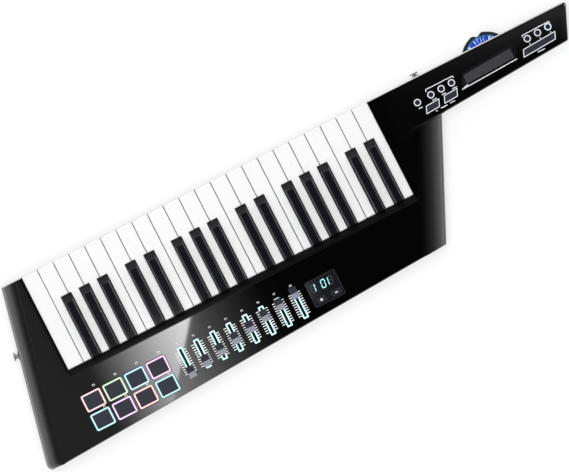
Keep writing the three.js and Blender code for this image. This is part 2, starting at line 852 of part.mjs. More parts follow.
/** Highest Z of a guide post that stays clear of the roof of a key pressed to its stop. */
function guideTop(y, roofZ) {
  return roofZ - (y - guideDepth / 2 - pivotY) * Math.sin(keyTravel) - keyRoof;
}

/** Plan places of the bosses under the key frame. */
function frameBossPlaces() {
  const span = keyboardWidth - frameBossInset * 2;
  return Array.from({ length: frameBossColumns }, (_, i) => {
    const x = keysLeftX + frameBossInset + (span * i) / (frameBossColumns - 1);
    return [at(x, frameFrontY - frameBossFrontBack), at(x, pivotY + frameBossFromPivot)];
  }).flat();
}

/** Key frame: base plate, pivot rail, contact strip, ribs and a guide post under each key. */
function keybedFrame() {
  const left = openingLeftX + frameSideGap;
  const right = openingRightX - frameSideGap;
  const plate = block([left, right], [frameRearY, frameFrontY], [framePlateZ, frameTopZ]);
  const railProfile = [
    at(pivotY - pivotRadius, frameTopZ - bite),
    at(pivotY + pivotRadius, frameTopZ - bite),
    ...Array.from({ length: grooveSteps + 1 }, (_, i) => {
      const angle = (i / grooveSteps) * Math.PI;
      return at(pivotY + pivotRadius * Math.cos(angle), pivotZ + pivotRadius * Math.sin(angle));
    }),
  ];
  const rail = barAlongX(railProfile, left, right);
  const strip = block(
    [left + frameRibThick, right - frameRibThick],
    [contactStripRearY, contactStripRearY + contactStripDepth],
    [frameTopZ - bite, frameTopZ + contactStripThick],
  );
  const ribs = Array.from({ length: frameRibCount }, (_, i) => {
    const x = left + ((right - left - frameRibThick) * i) / (frameRibCount - 1);
    const z = [frameTopZ - bite, frameTopZ + frameRibTall];
    const y = [pivotY + frameRibFromPivot, whiteGuideY - frameRibFromGuides];
    return block([x, x + frameRibThick], y, z);
  });
  const whiteGuides = Array.from({ length: whiteCount }, (_, index) => {
    const x = whiteLeft(index) + whitePitch / 2;
    const top = guideTop(whiteGuideY, whiteTopZ - keyRoof);
    return guidePost(x, whiteGuideY, whiteGuideWidth, top);
  });
  const blackGuides = Array.from({ length: whiteCount }, (_, index) => blackCentre(index))
    .filter((x) => x !== null)
    .map((x) => guidePost(x, blackGuideY, blackGuideWidth, guideTop(blackGuideY, whiteTopZ - keyWall)));
  return join([plate, rail, strip, ...ribs, ...whiteGuides, ...blackGuides]);
}

/** Guide post of one key on the frame. */
function guidePost(x, y, width, top) {
  const across = [x - width / 2, x + width / 2];
  return block(across, [y - guideDepth / 2, y + guideDepth / 2], [frameTopZ - bite, top]);
}

// Panel controls

/** Plan centres of the drum pads. */
function padPlaces() {
  return Array.from({ length: padColumns * padRows }, (_, i) =>
    at(padFirstX + padPitchX * (i % padColumns), padFirstY - padPitchY * Math.floor(i / padColumns)));
}

/** Silicone moulding with the eight pads on one sheet under the panel. */
function padMat() {
  const places = padPlaces();
  const first = places[0];
  const last = places[places.length - 1];
  const sheet = prism(
    roundedRectangle(
      (first.x + last.x) / 2,
      (first.y + last.y) / 2,
      last.x - first.x + padWidth + matMargin * 2,
      first.y - last.y + padDepth + matMargin * 2,
      padRadius,
    ),
    panelUnderZ - gap - matThick,
    panelUnderZ - gap,
  );
  const pads = places.map(({ x, y }) => bevelled(
    rectangle(x, y, padWidth, padDepth),
    panelUnderZ - gap - bite,
    panelZ + padProud,
    padBevel,
    (points) => roundCorners(points, points.map(() => padRadius - padBevel / 2)),
  ));
  return join([sheet, ...pads]);
}

/** Place of each fader cap, from its lowest stop at the left to its highest at the right. */
function faderPlaces() {
  return Array.from({ length: faderCount }, (_, i) =>
    at(faderFirstX + faderPitch * i, faderLowY + (faderTravel * i) / (faderCount - 1)));
}

/** Fader cap with a ridge across its middle and the stem below it. */
function faderCap({ x, y }) {
  const low = panelZ + gap * 2;
  const inset = faderTopInset * 2;
  const shape = (width, length) => rectangle(x, y, width, length);
  const cap = solid(loft([
    { points: shape(faderCapWidth, faderCapLength), z: low },
    { points: shape(faderCapWidth, faderCapLength), z: low + faderCapSkirt },
    { points: shape(faderCapWidth - inset, faderRidge + inset), z: low + faderCapTall - faderTopInset },
    { points: shape(faderCapWidth - inset, faderRidge), z: low + faderCapTall },
  ]));
  const stem = block(
    [x - faderStemWidth / 2, x + faderStemWidth / 2],
    [y - faderStemLength / 2, y + faderStemLength / 2],
    [boardTopZ + faderHousingFloor + gap, low + bite],
  );
  return cap.add(stem);
}

/** The two value buttons under the display. */
function valueButtons() {
  return [{ x: plusX, width: plusWidth }, { x: minusX, width: minusWidth }];
}

/** Silicone piece with the two value buttons. */
function valueKeypad() {
  const left = plusX - plusWidth / 2 - sheetMargin;
  const right = minusX + minusWidth / 2 + sheetMargin;
  const sheet = block(
    [left, right],
    [valueY - valueDepth / 2 - sheetMargin, valueY + valueDepth / 2 + sheetMargin],
    [panelUnderZ - gap - sheetThick, panelUnderZ - gap],
  );
  const buttons = valueButtons().map(({ x, width }) =>
    prism(
      roundedRectangle(x, valueY, width, valueDepth, valueRadius - gap),
      panelUnderZ - gap - bite,
      panelZ + buttonProud,
    ));
  return join([sheet, ...buttons]);
}

// Circuit board

/** Sockets along the lower edge: where each starts, how wide it is, how high it reaches and its bore. */
function sockets() {
  const kinds = [
    { width: powerSocketWidth, top: smallSocketTopZ, radius: powerBoreRadius },
    { width: usbSocketWidth, top: smallSocketTopZ, radius: 0 },
    { width: midiSocketWidth, top: midiSocketTopZ, radius: midiBoreRadius },
    { width: jackSocketWidth, top: smallSocketTopZ, radius: jackBoreRadius },
  ];
  let x = faderFirstX + socketFromFaders;
  return kinds.map((kind) => {
    const placed = { ...kind, x: x + kind.width / 2 };
    x += kind.width + socketSpacing;
    return placed;
  });
}

/** Block of a socket, turned to lie square to the body's lower edge; Y counts inwards from that edge. */
function socketBlock(x, width, low, high, outside, inside) {
  const points = rectangle(0, (outside + inside) / 2, width, inside - outside);
  const geometry = loft([{ points, z: low }, { points, z: high }]);
  geometry.rotateZ(footTurn);
  return solid(geometry.translate(x, footEdgeY(x), 0));
}

/** Cuts in the top cover's lower wall for the sockets. */
function socketCuts() {
  return sockets().map(({ x, width, top }) =>
    socketBlock(x, width + runningGap * 2, socketLowZ - runningGap, top + runningGap, -overrun, wall + overrun));
}

/** Shallow recess in the face of a socket, round or square. */
function socketBore({ x, top, radius }) {
  const z = (socketLowZ + top) / 2;
  if (radius === 0) {
    const half = usbBoreTall / 2;
    return socketBlock(x, usbBoreWidth, z - half, z + half, -overrun, socketFaceInset + socketRecess);
  }
  const inwards = new THREE.Vector3(-Math.sin(footTurn), Math.cos(footTurn), 0);
  const place = new THREE.Vector3(x, footEdgeY(x), z);
  return turned([[radius, -overrun], [radius, socketFaceInset + socketRecess]], place, inwards);
}

/** Battery holder with its cells under the circuit board. */
function batteryHolder() {
  const half = cellLength / 2 + holderWall;
  const rearY = cellFirstY - cellRadius - holderWall;
  const frontEndY = cellFirstY + cellPitch * (cellCount - 1) + cellRadius + holderWall;
  const tray = block([doorX - half, doorX + half], [rearY, frontEndY], [cellLowZ + cellRadius, holderTopZ]);
  const cells = Array.from({ length: cellCount }, (_, i) =>
    barAlongX(
      circle(cellFirstY + cellPitch * i, cellLowZ + cellRadius, cellRadius, grooveSteps * 2),
      doorX - cellLength / 2,
      doorX + cellLength / 2,
    ));
  const legs = [doorX - half, doorX + half - holderWall].map((x) =>
    block([x, x + holderWall], [rearY, frontEndY], [holderTopZ - bite, boardZ + bite]));
  return join([tray, ...cells, ...legs]);
}

/** Circuit board with fader bodies, display module, sockets and battery holder. */
function mainBoard() {
  const edge = boardEdgeGap;
  const plate = prism([
    at(boardLeftX, boardRearY),
    at(boardLeftX, footEdgeY(boardLeftX) + edge),
    at(boardRightX, footEdgeY(boardRightX) + edge),
    at(boardRightX, boardRearY),
  ], boardZ, boardTopZ);
  const housings = faderPlaces().map(({ x }) => {
    const end = faderStemLength / 2 + faderHousingEnd;
    const body = block(
      [x - faderHousingWidth / 2, x + faderHousingWidth / 2],
      [faderLowY - end, faderLowY + faderTravel + end],
      [boardTopZ - bite, boardTopZ + faderHousingTall],
    );
    const slotHalf = faderStemWidth / 2 + gap;
    const slotEnd = faderStemLength / 2 + gap;
    return body.subtract(block(
      [x - slotHalf, x + slotHalf],
      [faderLowY - slotEnd, faderLowY + faderTravel + slotEnd],
      [boardTopZ + faderHousingFloor, boardTopZ + faderHousingTall + overrun],
    ));
  });
  const display = prism(
    rectangle(displayX, displayY, displayWidth, displayDepth), boardTopZ - bite, panelZ - gap,
  );
  const socketBodies = sockets().map((socket) =>
    socketBlock(socket.x, socket.width, socketLowZ, socket.top, socketFaceInset, socketDepth + edge / 2)
      .subtract(socketBore(socket)));
  return join([plate, ...housings, display, ...socketBodies, batteryHolder()]);
}

// Neck controls

/** Plan centres of the round buttons, in a row that follows the neck's slope. */
function roundPlaces() {
  const groups = [roundGroup, roundFarGroup].flatMap((start) =>
    Array.from({ length: roundGroupCount }, (_, i) => neckRootX + start + roundPitch * i));
  return [roundFirstX, ...groups].map((x) => at(x, roundRowY(x)));
}

/** Height in Y of the row of round buttons at a place along X. */
function roundRowY(x) {
  return roundFirstY + (x - roundFirstX) * neckSlope;
}

/** Strip of the neck keypad under one run of round buttons. */
function webStrip(fromX, toX, low, high) {
  const points = [
    at(fromX, roundRowY(fromX) + webHalfWidth),
    at(fromX, roundRowY(fromX) - webHalfWidth),
    at(toX, roundRowY(toX) - webHalfWidth),
    at(toX, roundRowY(toX) + webHalfWidth),
  ];
  return prism(points, low, high);
}

/** Silicone keypad of the neck: seven round buttons on one web that passes above the touch strip. */
function neckKeypad() {
  const high = panelUnderZ - gap;
  const low = high - sheetThick;
  const places = roundPlaces();
  const nearEnd = places[roundGroupCount].x;
  const farStart = places[roundGroupCount + 1].x;
  const farEnd = places[places.length - 1].x;
  const link = [webLinkY - webLinkHalfWidth, webLinkY + webLinkHalfWidth];
  const legs = [nearEnd, farStart].map((x) =>
    block([x - webLinkHalfWidth, x + webLinkHalfWidth], [roundRowY(x), webLinkY], [low, high]));
  const web = [
    webStrip(roundFirstX - webHalfWidth, nearEnd + webHalfWidth, low, high),
    webStrip(farStart - webHalfWidth, farEnd + webHalfWidth, low, high),
    block([nearEnd - webLinkHalfWidth, farStart + webLinkHalfWidth], link, [low, high]),
  ];
  const buttons = places.map(({ x, y }) => post(x, y, roundRadius, high - bite, panelZ + buttonProud));
  return join([...web, ...legs, ...buttons]);
}

/** The keys of the neck that travel: two octave keys and the long sustain key. */
function neckKeys() {
  return [
    { name: 'sustain_bar', x: neckRootX + sustain, width: sustainWidth },
    { name: 'octave_down_button', x: neckRootX + octaveDown, width: octaveWidth },
    { name: 'octave_up_button', x: neckRootX + octaveUp, width: octaveWidth },
  ];
}

/** Travelling key with a flange under the panel that stops it from coming out. */
function neckKey({ x, width }) {
  const shape = leaning(x, neckKeyRise, width, neckKeyDepth, neckKeyLean);
  const flangeTop = panelUnderZ - gap;
  const cap = bevelled(shape, flangeTop - bite, panelZ + neckKeyProud, gap);
  return cap.add(prism(shrink(shape, -flangeMargin), flangeTop - flangeThick, flangeTop));
}

/** Plan of the recess for the touch strip. */
function ribbonShape() {
  return leaning(neckRootX + ribbon, ribbonRise, ribbonWidth, ribbonDepth, ribbonLean);
}

/** Touch strip lying in its recess in the neck's top. */
function ribbonStrip() {
  const shape = shrink(ribbonShape(), ribbonMargin);
  const low = panelZ - ribbonRecess + gap;
  const rounded = roundCorners(shape, shape.map(() => ribbonMargin));
  return prism(rounded, low, low + ribbonThick);
}

/** Pitch wheel: a sector that turns on its post and shows through the slot in the front edge. */
function pitchWheel() {
  const spread = THREE.MathUtils.degToRad(wheelSectorDeg);
  const start = Math.PI / 2 - spread / 2;
  const rim = Array.from({ length: wheelSteps + 1 }, (_, i) => {
    const angle = start + (spread * i) / wheelSteps;
    return at(wheelX + wheelRadius * Math.cos(angle), wheelY + wheelRadius * Math.sin(angle));
  });
  const high = wheelLowZ + wheelThick;
  const sector = prism(rim, wheelLowZ, high);
  const hub = post(wheelX, wheelY, wheelHubRadius, wheelLowZ, high);
  const notchY = wheelY + wheelRadius - thumbNotchDepth + thumbNotchRadius;
  const notch = post(wheelX, notchY, thumbNotchRadius, wheelLowZ - overrun, high + overrun);
  const bore = post(wheelX, wheelY, wheelPostRadius + gap, wheelLowZ - overrun, high + overrun);
  return cut(sector.add(hub), [notch, bore]);
}

// Strap buttons

/** Where the strap buttons stand on the case and which way they point. */
function strapPlaces() {
  const edge = outline[0].clone().sub(outline[1]).normalize();
  const share = endStrapBack / (frontY - leftFootY);
  const onEdge = outline[0].clone().lerp(outline[1], share);
  return [
    {
      name: 'strap_button_end',
      length: strapLength,
      place: new THREE.Vector3(onEdge.x, onEdge.y, strapZ),
      direction: new THREE.Vector3(-edge.y, edge.x, 0),
    },
    {
      name: 'strap_button_neck',
      length: neckStrapLength,
      place: new THREE.Vector3(neckRootX + neckStrap, frontY, strapZ),
      direction: new THREE.Vector3(0, 1, 0),
    },
  ];
}

/** Chrome strap button with its screw in the case wall. */
function strapButton({ place, direction, length }) {
  const rim = strapFlangeThick / 2;
  return turned([
    [strapScrewRadius, -strapScrewLength],
    [strapScrewRadius, gap],
    [strapFlangeRadius - rim, gap],
    [strapFlangeRadius - rim, strapFlangeThick],
    [strapWaistRadius, strapFlangeThick + rim],
    [strapWaistRadius, length - strapHeadThick - rim],
    [strapFlangeRadius, length - strapHeadThick],
    [strapFlangeRadius, length - rim],
    [strapFlangeRadius - rim, length],
  ], place, direction);
}

// Assembly

addPiece('top_cover', topCover(), finishes.glossCase);
addPiece('rear_cover', rearCover(), finishes.mattCase);
addPiece('keybed_frame', keybedFrame(), finishes.frame);
addPiece('main_board', mainBoard(), finishes.board);
addPiece('pad_mat', padMat(), finishes.silicone);
addPiece('value_keypad', valueKeypad(), finishes.slate);
addPiece('neck_keypad', neckKeypad(), finishes.slate);
addPiece('ribbon_strip', ribbonStrip(), finishes.ribbon);
strapPlaces().forEach((strap) => addPiece(strap.name, strapButton(strap), finishes.chrome));
addPiece('pitch_wheel', pitchWheel(), finishes.wheel);
neckKeys().forEach((key) => addPiece(key.name, neckKey(key), finishes.slate));
addPiece('battery_door', batteryDoor(), finishes.mattCase);
faderPlaces().forEach((place, i) => addPiece(`fader_cap_${i + 1}`, faderCap(place), finishes.faderCap));

for (let index = 0; index < whiteCount; index += 1) {
  const { note, octaveNumber } = whiteNote(index);
  addPiece(`white_key_${note}${octaveNumber}`, whiteKey(index), finishes.whiteKey);
  const centre = blackCentre(index);
  if (centre !== null) {
    addPiece(`black_key_${sharpAfter[note]}${octaveNumber}`, blackKey(centre), finishes.blackKey);
  }
}

// The origin moves to the middle of the footprint, on the surface that the keytar lies on
const box = new THREE.Box3().setFromObject(group);
const middle = box.getCenter(new THREE.Vector3());
group.position.set(-middle.x, -middle.y, -box.min.z);

export default group;
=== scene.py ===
"""Keytar: finished pieces, materials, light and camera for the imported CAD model.

Sizes are millimetres measured on the panel: X runs towards the neck, Y towards the front edge where the key lips
are, and Z out of the panel. Placement turns them into metres in the shared frame.
"""

import logging
import math
from collections.abc import Callable, Sequence
from dataclasses import dataclass, field
from enum import Enum
from functools import cached_property, reduce

import bmesh
import bpy
import numpy as np
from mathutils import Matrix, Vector


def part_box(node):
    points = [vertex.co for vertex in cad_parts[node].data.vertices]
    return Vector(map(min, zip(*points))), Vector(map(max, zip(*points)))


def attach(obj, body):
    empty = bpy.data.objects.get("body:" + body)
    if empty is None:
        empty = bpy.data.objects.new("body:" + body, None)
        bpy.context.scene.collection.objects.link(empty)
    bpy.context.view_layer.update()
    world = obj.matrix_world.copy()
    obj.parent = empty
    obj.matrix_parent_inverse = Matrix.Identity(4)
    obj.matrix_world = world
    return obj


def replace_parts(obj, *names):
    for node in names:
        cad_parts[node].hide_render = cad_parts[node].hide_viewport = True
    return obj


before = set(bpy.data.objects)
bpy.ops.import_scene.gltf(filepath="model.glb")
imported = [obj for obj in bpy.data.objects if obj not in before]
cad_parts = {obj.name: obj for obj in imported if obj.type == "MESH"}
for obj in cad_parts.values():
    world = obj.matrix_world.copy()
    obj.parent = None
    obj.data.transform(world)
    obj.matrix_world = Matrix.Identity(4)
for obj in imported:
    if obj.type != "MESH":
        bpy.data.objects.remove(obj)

Array = np.ndarray
Piece = bpy.types.Object
Pair = tuple[float, float]
Triple = tuple[float, float, float]
Levels = tuple[float, float, float]
Numbers = Array | Sequence[float]

LOG = logging.getLogger("keytar")
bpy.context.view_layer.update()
PANEL_TOP = 52.0
NECK_SLOPE = 11.0 / 194.0
UP = (0.0, 0.0, 1.0)
WHITE = (1.0, 1.0, 1.0, 1.0)
QUARTER = math.pi / 2

# The body's lower edge: a point on it, its turn away from X, and its direction into the case.
LOWER_X, LOWER_Y = -55.7, -247.5
LOWER_TURN = math.atan(31.5 / 612.2)
LOWER_IN = (-math.sin(LOWER_TURN), math.cos(LOWER_TURN), 0.0)


# Placing


@dataclass(frozen=True)
class Placement:
    """Where the panel's measuring grid lies in the shared frame."""

    shift_x: float
    shift_y: float

    @classmethod
    def from_end_key(cls) -> "Placement":
        """Finds the grid from the last white key, whose low X is 30.95 mm and whose front is at 1.5 mm."""
        low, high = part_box("white_key_c4")
        return cls(30.95 - low.x * 1000.0, 1.5 - high.y * 1000.0)

    def metres(self, points: Array) -> Array:
        """Works out places in the frame: the measured place less the shift, divided by a thousand.

        Args:
            points: Places in millimetres, with X, Y and Z in the last axis.

        Returns:
            The same places in metres.
        """
        shift = np.array([self.shift_x, self.shift_y, 0.0])
        return (np.asarray(points, float) - shift) / 1000.0


PLACE = Placement.from_end_key()


def neck_edge(x: float) -> float:
    """Gives the Y of the neck's lower edge at a given X: a straight line from the neck's root to its tip."""
    return -58.0 + (x - 630.0) * NECK_SLOPE


# Surfaces


def read(items: bpy.types.bpy_prop_collection, name: str) -> Array:
    """Reads one vector of each vertex or face.

    Args:
        items: A mesh's vertices or polygons.
        name: Which vector.

    Returns:
        Array of rows of three.
    """
    values = np.zeros(len(items) * 3, np.float32)
    items.foreach_get(name, values)
    return values.reshape(-1, 3)


def mend(mesh: bpy.types.Mesh, merge: float = 0.0) -> None:
    """Turns a mesh's faces outwards, after merging points where asked.

    Args:
        mesh: The mesh.
        merge: Distance in metres within which points merge, if more than zero.
    """
    shell = bmesh.new()
    shell.from_mesh(mesh)
    if merge > 0:
        bmesh.ops.remove_doubles(shell, verts=shell.verts, dist=merge)
    bmesh.ops.recalc_face_normals(shell, faces=shell.faces)
    shell.to_mesh(mesh)
    shell.free()


def grid_faces(rows: int, columns: int, wrap_rows: bool) -> Array:
    """Joins the points of a grid into quads. Columns always close round; rows close only where asked.

    Args:
        rows: Number of rings.
        columns: Number of points in a ring.
        wrap_rows: Whether the last ring joins the first.

    Returns:
        Array of quads, four point numbers each.
    """
    i, j = np.meshgrid(np.arange(rows if wrap_rows else rows - 1), np.arange(columns), indexing="ij")
    next_i, next_j = (i + 1) % rows, (j + 1) % columns
    quads = [i * columns + j, i * columns + next_j, next_i * columns + next_j, next_i * columns + j]
    return np.stack(quads, axis=-1).reshape(-1, 4)


def new_piece(name: str, points: Array, faces: Sequence, sharp: float = 32.0) -> Piece:
    """Puts points and faces into a mesh whose object sits at the origin.

    Args:
        name: Name of the piece.
        points: Places in metres.
        faces: Point numbers of each face.
        sharp: Angle in degrees past which an edge stays sharp.

    Returns:
        The new object.
    """
    mesh = bpy.data.meshes.new(name)
    mesh.from_pydata(np.asarray(points, float).reshape(-1, 3).tolist(), [], [list(face) for face in faces])
    mend(mesh)
    mesh.shade_smooth()
    mesh.set_sharp_from_angle(angle=math.radians(sharp))
    piece = bpy.data.objects.new(name, mesh)
    bpy.context.scene.collection.objects.link(piece)
    return piece


def skin(name: str, rings: Array, hoop: bool = False, sharp: float = 32.0) -> Piece:
    """Closes a surface through rings of equal count, with flat ends, or end to end as a hoop.

    Args:
        name: Name of the piece.
        rings: Millimetres, one row for each ring.
        hoop: Whether the last ring joins the first.
        sharp: Angle in degrees past which an edge stays sharp.

    Returns:
        The new object.
    """
    rows, columns = rings.shape[:2]
    faces = grid_faces(rows, columns, hoop).tolist()
    if not hoop:
        faces += [list(range(columns))[::-1], list(range((rows - 1) * columns, rows * columns))]
    return new_piece(name, PLACE.metres(rings), faces, sharp)


@dataclass(frozen=True)
class Outline:
    """Plan outline with rounded corners, counter-clockwise seen from above, in millimetres."""

    corners: tuple[Pair, ...]
    radius: float
    steps: int = 6

    @classmethod
    def rectangle(cls, x: float, y: float, width: float, depth: float, radius: float) -> "Outline":
        """Makes a rectangle about a centre.

        Args:
            x: Middle across.
            y: Middle up.
            width: Size across.
            depth: Size up.
            radius: Radius of its corners.

        Returns:
            The outline.
        """
        across, up = width / 2, depth / 2
        return cls(((x - across, y - up), (x + across, y - up), (x + across, y + up), (x - across, y + up)), radius)

    @classmethod
    def leaning(cls, x: float, width: float, depth: float, lean: float, rise: float, radius: float) -> "Outline":
        """Makes a parallelogram that follows the neck's lower edge.

        Args:
            x: Middle across.
            width: Size across.
            depth: Size up.
            lean: How far the upper side is moved along.
            rise: Distance of the middle from the neck's lower edge.
            radius: Radius of its corners.

        Returns:
            The outline.
        """
        across = np.array([-width - lean, width - lean, width + lean, -width + lean]) / 2
        up = np.array([-depth, -depth, depth, depth]) / 2 + across * NECK_SLOPE
        places = np.stack([x + across, neck_edge(x) + rise + up], axis=1)
        return cls(tuple(map(tuple, places)), radius)

    def rings(self, inset: Numbers) -> Array:
        """Works out the outline moved inwards by each inset.

        Where the two edges of a corner have inward normals a and b, the arc's centre is the corner plus (a + b)
        times (radius + inset) / (1 + a·b), and the arc's points are the centre plus the radius in the directions
        from -a to -b. The radius shrinks by the inset.

        Args:
            inset: Distance inwards for each ring; less than zero is outwards.

        Returns:
            Array of rings by points by two.
        """
        corner = np.array(self.corners, float)
        into = corner - np.roll(corner, 1, axis=0)
        into /= np.linalg.norm(into, axis=1, keepdims=True)
        out = np.roll(into, -1, axis=0)
        a = np.stack([-into[:, 1], into[:, 0]], axis=1)
        b = np.stack([-out[:, 1], out[:, 0]], axis=1)
        meet = (a * b).sum(axis=1)
        inset = np.asarray(inset, float)
        radius = np.maximum(self.radius - inset, 0.02)
        centre = corner + (a + b) / (1 + meet)[:, None] * (radius + inset)[:, None, None]
        start = np.arctan2(-a[:, 1], -a[:, 0])
        turn = np.arctan2(a[:, 0] * b[:, 1] - a[:, 1] * b[:, 0], meet)
        angle = start[:, None] + turn[:, None] * np.linspace(0, 1, self.steps)
        arc = np.stack([np.cos(angle), np.sin(angle)], axis=-1)
        points = centre[:, :, None, :] + radius[:, None, None, None] * arc
        return points.reshape(len(inset), -1, 2)

    def carried(self, profile: Array | Sequence[Pair]) -> Array:
        """Carries a profile round the outline: each profile point gives a ring at its inset and its height.

        Args:
            profile: Points, each an inset and a height.

        Returns:
            Rings with X, Y and Z.
        """
        profile = np.asarray(profile, float)
        flat = self.rings(profile[:, 0])
        height = np.broadcast_to(profile[:, 1][:, None, None], (*flat.shape[:2], 1))
        return np.concatenate([flat, height], axis=2)


def slab_profile(low: float, high: float, edge: float, dome: float = 0.0, reach: float = 0.0) -> Array:
    """Profile of a slab: up its side, round its top edge by a quarter circle, and in over a dome.

    The dome's height at a share t of the reach is dome × (1 - (1 - t)²).

    Args:
        low: Height of the underside.
        high: Height where the top edge ends.
        edge: Radius of the top edge.
        dome: Rise of the middle above that.
        reach: How far in the dome runs.

    Returns:
        Array of points, each an inset and a height.
    """
    turn = np.linspace(0, QUARTER, 5)
    rim = np.stack([edge * (1 - np.cos(turn)), high - edge + edge * np.sin(turn)], axis=1)
    parts = [np.array([[0.0, low]]), rim]
    if reach > 0:
        t = np.linspace(0, 1, 6)[1:]
        parts.append(np.stack([edge + (reach - edge) * t, high + dome * (1 - (1 - t) ** 2)], axis=1))
    return np.concatenate(parts)


def band_profile(outer: float, inner: float, low: float, high: float, edge: float) -> Array:
    """Profile of a raised band, with both top edges rounded by quarter circles.

    Args:
        outer: Inset of its outer side.
        inner: Inset of its inner side.
        low: Height of the underside.
        high: Height of the top.
        edge: Radius of the top edges.

    Returns:
        Array of points, each an inset and a height.
    """
    turn = np.linspace(0, QUARTER, 4)
    rise = high - edge + edge * np.sin(turn)
    first = np.stack([outer + edge * (1 - np.cos(turn)), rise], axis=1)
    second = np.stack([inner - edge * (1 - np.cos(turn)), rise], axis=1)[::-1]
    flat = np.stack([np.linspace(first[-1, 0], second[0, 0], 8)[1:-1], np.full(6, high)], axis=1)
    return np.concatenate([[[outer, low]], first, flat, second, [[inner, low]]])


def turned_rings(radius: Numbers, along: Numbers, centre: Triple, axis: Triple, steps: int = 40) -> Array:
    """Turns a profile about an axis: centre + along × axis + radius × (cos u × e1 + sin u × e2).

    Args:
        radius: Distance from the axis, for each ring.
        along: Distance along the axis, for each ring, or for each ring and angle.
        centre: Where the axis starts.
        axis: Direction of the axis.
        steps: Number of angles.

    Returns:
        Rings with X, Y and Z.
    """
    way = np.array(axis, float) / np.linalg.norm(axis)
    aside = np.array(UP) if abs(way[2]) < 0.9 else np.array([1.0, 0.0, 0.0])
    e1 = np.cross(aside, way)
    e1 /= np.linalg.norm(e1)
    e2 = np.cross(way, e1)
    u = np.linspace(0, 2 * math.pi, steps, endpoint=False)
    circle = np.outer(np.cos(u), e1) + np.outer(np.sin(u), e2)
    along = np.asarray(along, float)
    along = along[:, None] if along.ndim == 1 else along
    along = np.broadcast_to(along, (len(radius), steps))
    return np.array(centre) + along[:, :, None] * way + np.asarray(radius)[:, None, None] * circle


def cross_recess(radius: Array, steps: int, width: float, reach: float) -> Array:
    """Finds where the cross recess of a turned head lies.

    Args:
        radius: Radius of each ring.
        steps: Number of angles.
        width: Half the width of the cross's arms.
        reach: How far the arms reach.

    Returns:
        For each ring and angle, whether it is inside the cross.
    """
    u = np.linspace(0, 2 * math.pi, steps, endpoint=False)
    across, up = np.abs(np.outer(radius, np.cos(u))), np.abs(np.outer(radius, np.sin(u)))
    return (np.minimum(across, up) < width) & (np.maximum(across, up) < reach)


def prisms(name: str, outlines: Array, low: float, high: float) -> Piece:
    """Raises equal-sided flat outlines into one piece of closed thin prisms.

    Args:
        name: Name of the piece.
        outlines: Array of outlines by points by two, counter-clockwise.
        low: Height of the undersides.
        high: Height of the tops.

    Returns:
        The new object.
    """
    flat = np.asarray(outlines, float)
    count, sides = flat.shape[:2]
    heights = np.broadcast_to(np.array([low, high])[None, :, None, None], (count, 2, sides, 1))
    both = np.concatenate([np.repeat(flat[:, None], 2, axis=1), heights], axis=3)
    start = (np.arange(count) * sides * 2)[:, None]
    quads = (grid_faces(2, sides, False)[None] + start[:, :, None]).reshape(-1, 4).tolist()
    under = (np.arange(sides)[::-1][None] + start).tolist()
    over = (np.arange(sides, sides * 2)[None] + start).tolist()
    return new_piece(name, PLACE.metres(both), quads + under + over)


def bars(starts: Array, ends: Array, width: float) -> Array:
    """Works out outlines of straight bars: each end moved half the width to both sides of the line between.

    Args:
        starts: Where each bar starts.
        ends: Where each bar ends.
        width: Width of the bars.

    Returns:
        Array of outlines by four points by two.
    """
    starts, ends = np.asarray(starts, float), np.asarray(ends, float)
    along = ends - starts
    along /= np.linalg.norm(along, axis=1, keepdims=True)
    side = np.stack([along[:, 1], -along[:, 0]], axis=1) * width / 2
    return np.stack([starts + side, ends + side, ends - side, starts - side], axis=1)


def stroke(points: Sequence[Pair], width: float) -> Array:
    """Outline of a line drawn along points, with mitred bends.

    The offset at a bend between the normals a and b is half the width times (a + b) / (1 + a·b).

    Args:
        points: The line's points.
        width: Its width.

    Returns:
        Array holding one outline.
    """
    line = np.array(points, float)
    along = np.diff(line, axis=0)
    along /= np.linalg.norm(along, axis=1, keepdims=True)
    normal = np.stack([along[:, 1], -along[:, 0]], axis=1)
    a, b = np.concatenate([normal[:1], normal]), np.concatenate([normal, normal[-1:]])
    side = (a + b) / (1 + (a * b).sum(axis=1))[:, None] * width / 2
    return np.concatenate([line + side, (line - side)[::-1]])[None]


def figure(name: str, text: str, size: float, x: float, y: float) -> Piece:
    """Makes bold figures printed on the panel with their middle at a place.

    Args:
        name: Name of the piece.
        text: The figures.
        size: Their nominal height.
        x: Middle across.
        y: Middle up.

    Returns:
        The new object.
    """
    curve = bpy.data.curves.new(name, "FONT")
    curve.body, curve.size, curve.extrude, curve.resolution_u = text, size, 0.5, 3
    curve.offset = size * 0.03
    maker = bpy.data.objects.new(name, curve)
    bpy.context.scene.collection.objects.link(maker)
    bpy.context.view_layer.update()
    made = maker.evaluated_get(bpy.context.evaluated_depsgraph_get()).to_mesh()
    points = read(made.vertices, "co").astype(float)
    faces = [tuple(face.vertices) for face in made.polygons]
    bpy.data.objects.remove(maker)
    middle = (points.min(axis=0) + points.max(axis=0)) / 2
    points[:, :2] += np.array([x, y]) - middle[:2]
    points[:, 2] = np.where(points[:, 2] > 0, PANEL_TOP + 0.12, PANEL_TOP)
    piece = new_piece(name, PLACE.metres(points), faces)
    mend(piece.data, 1e-7)
    return piece


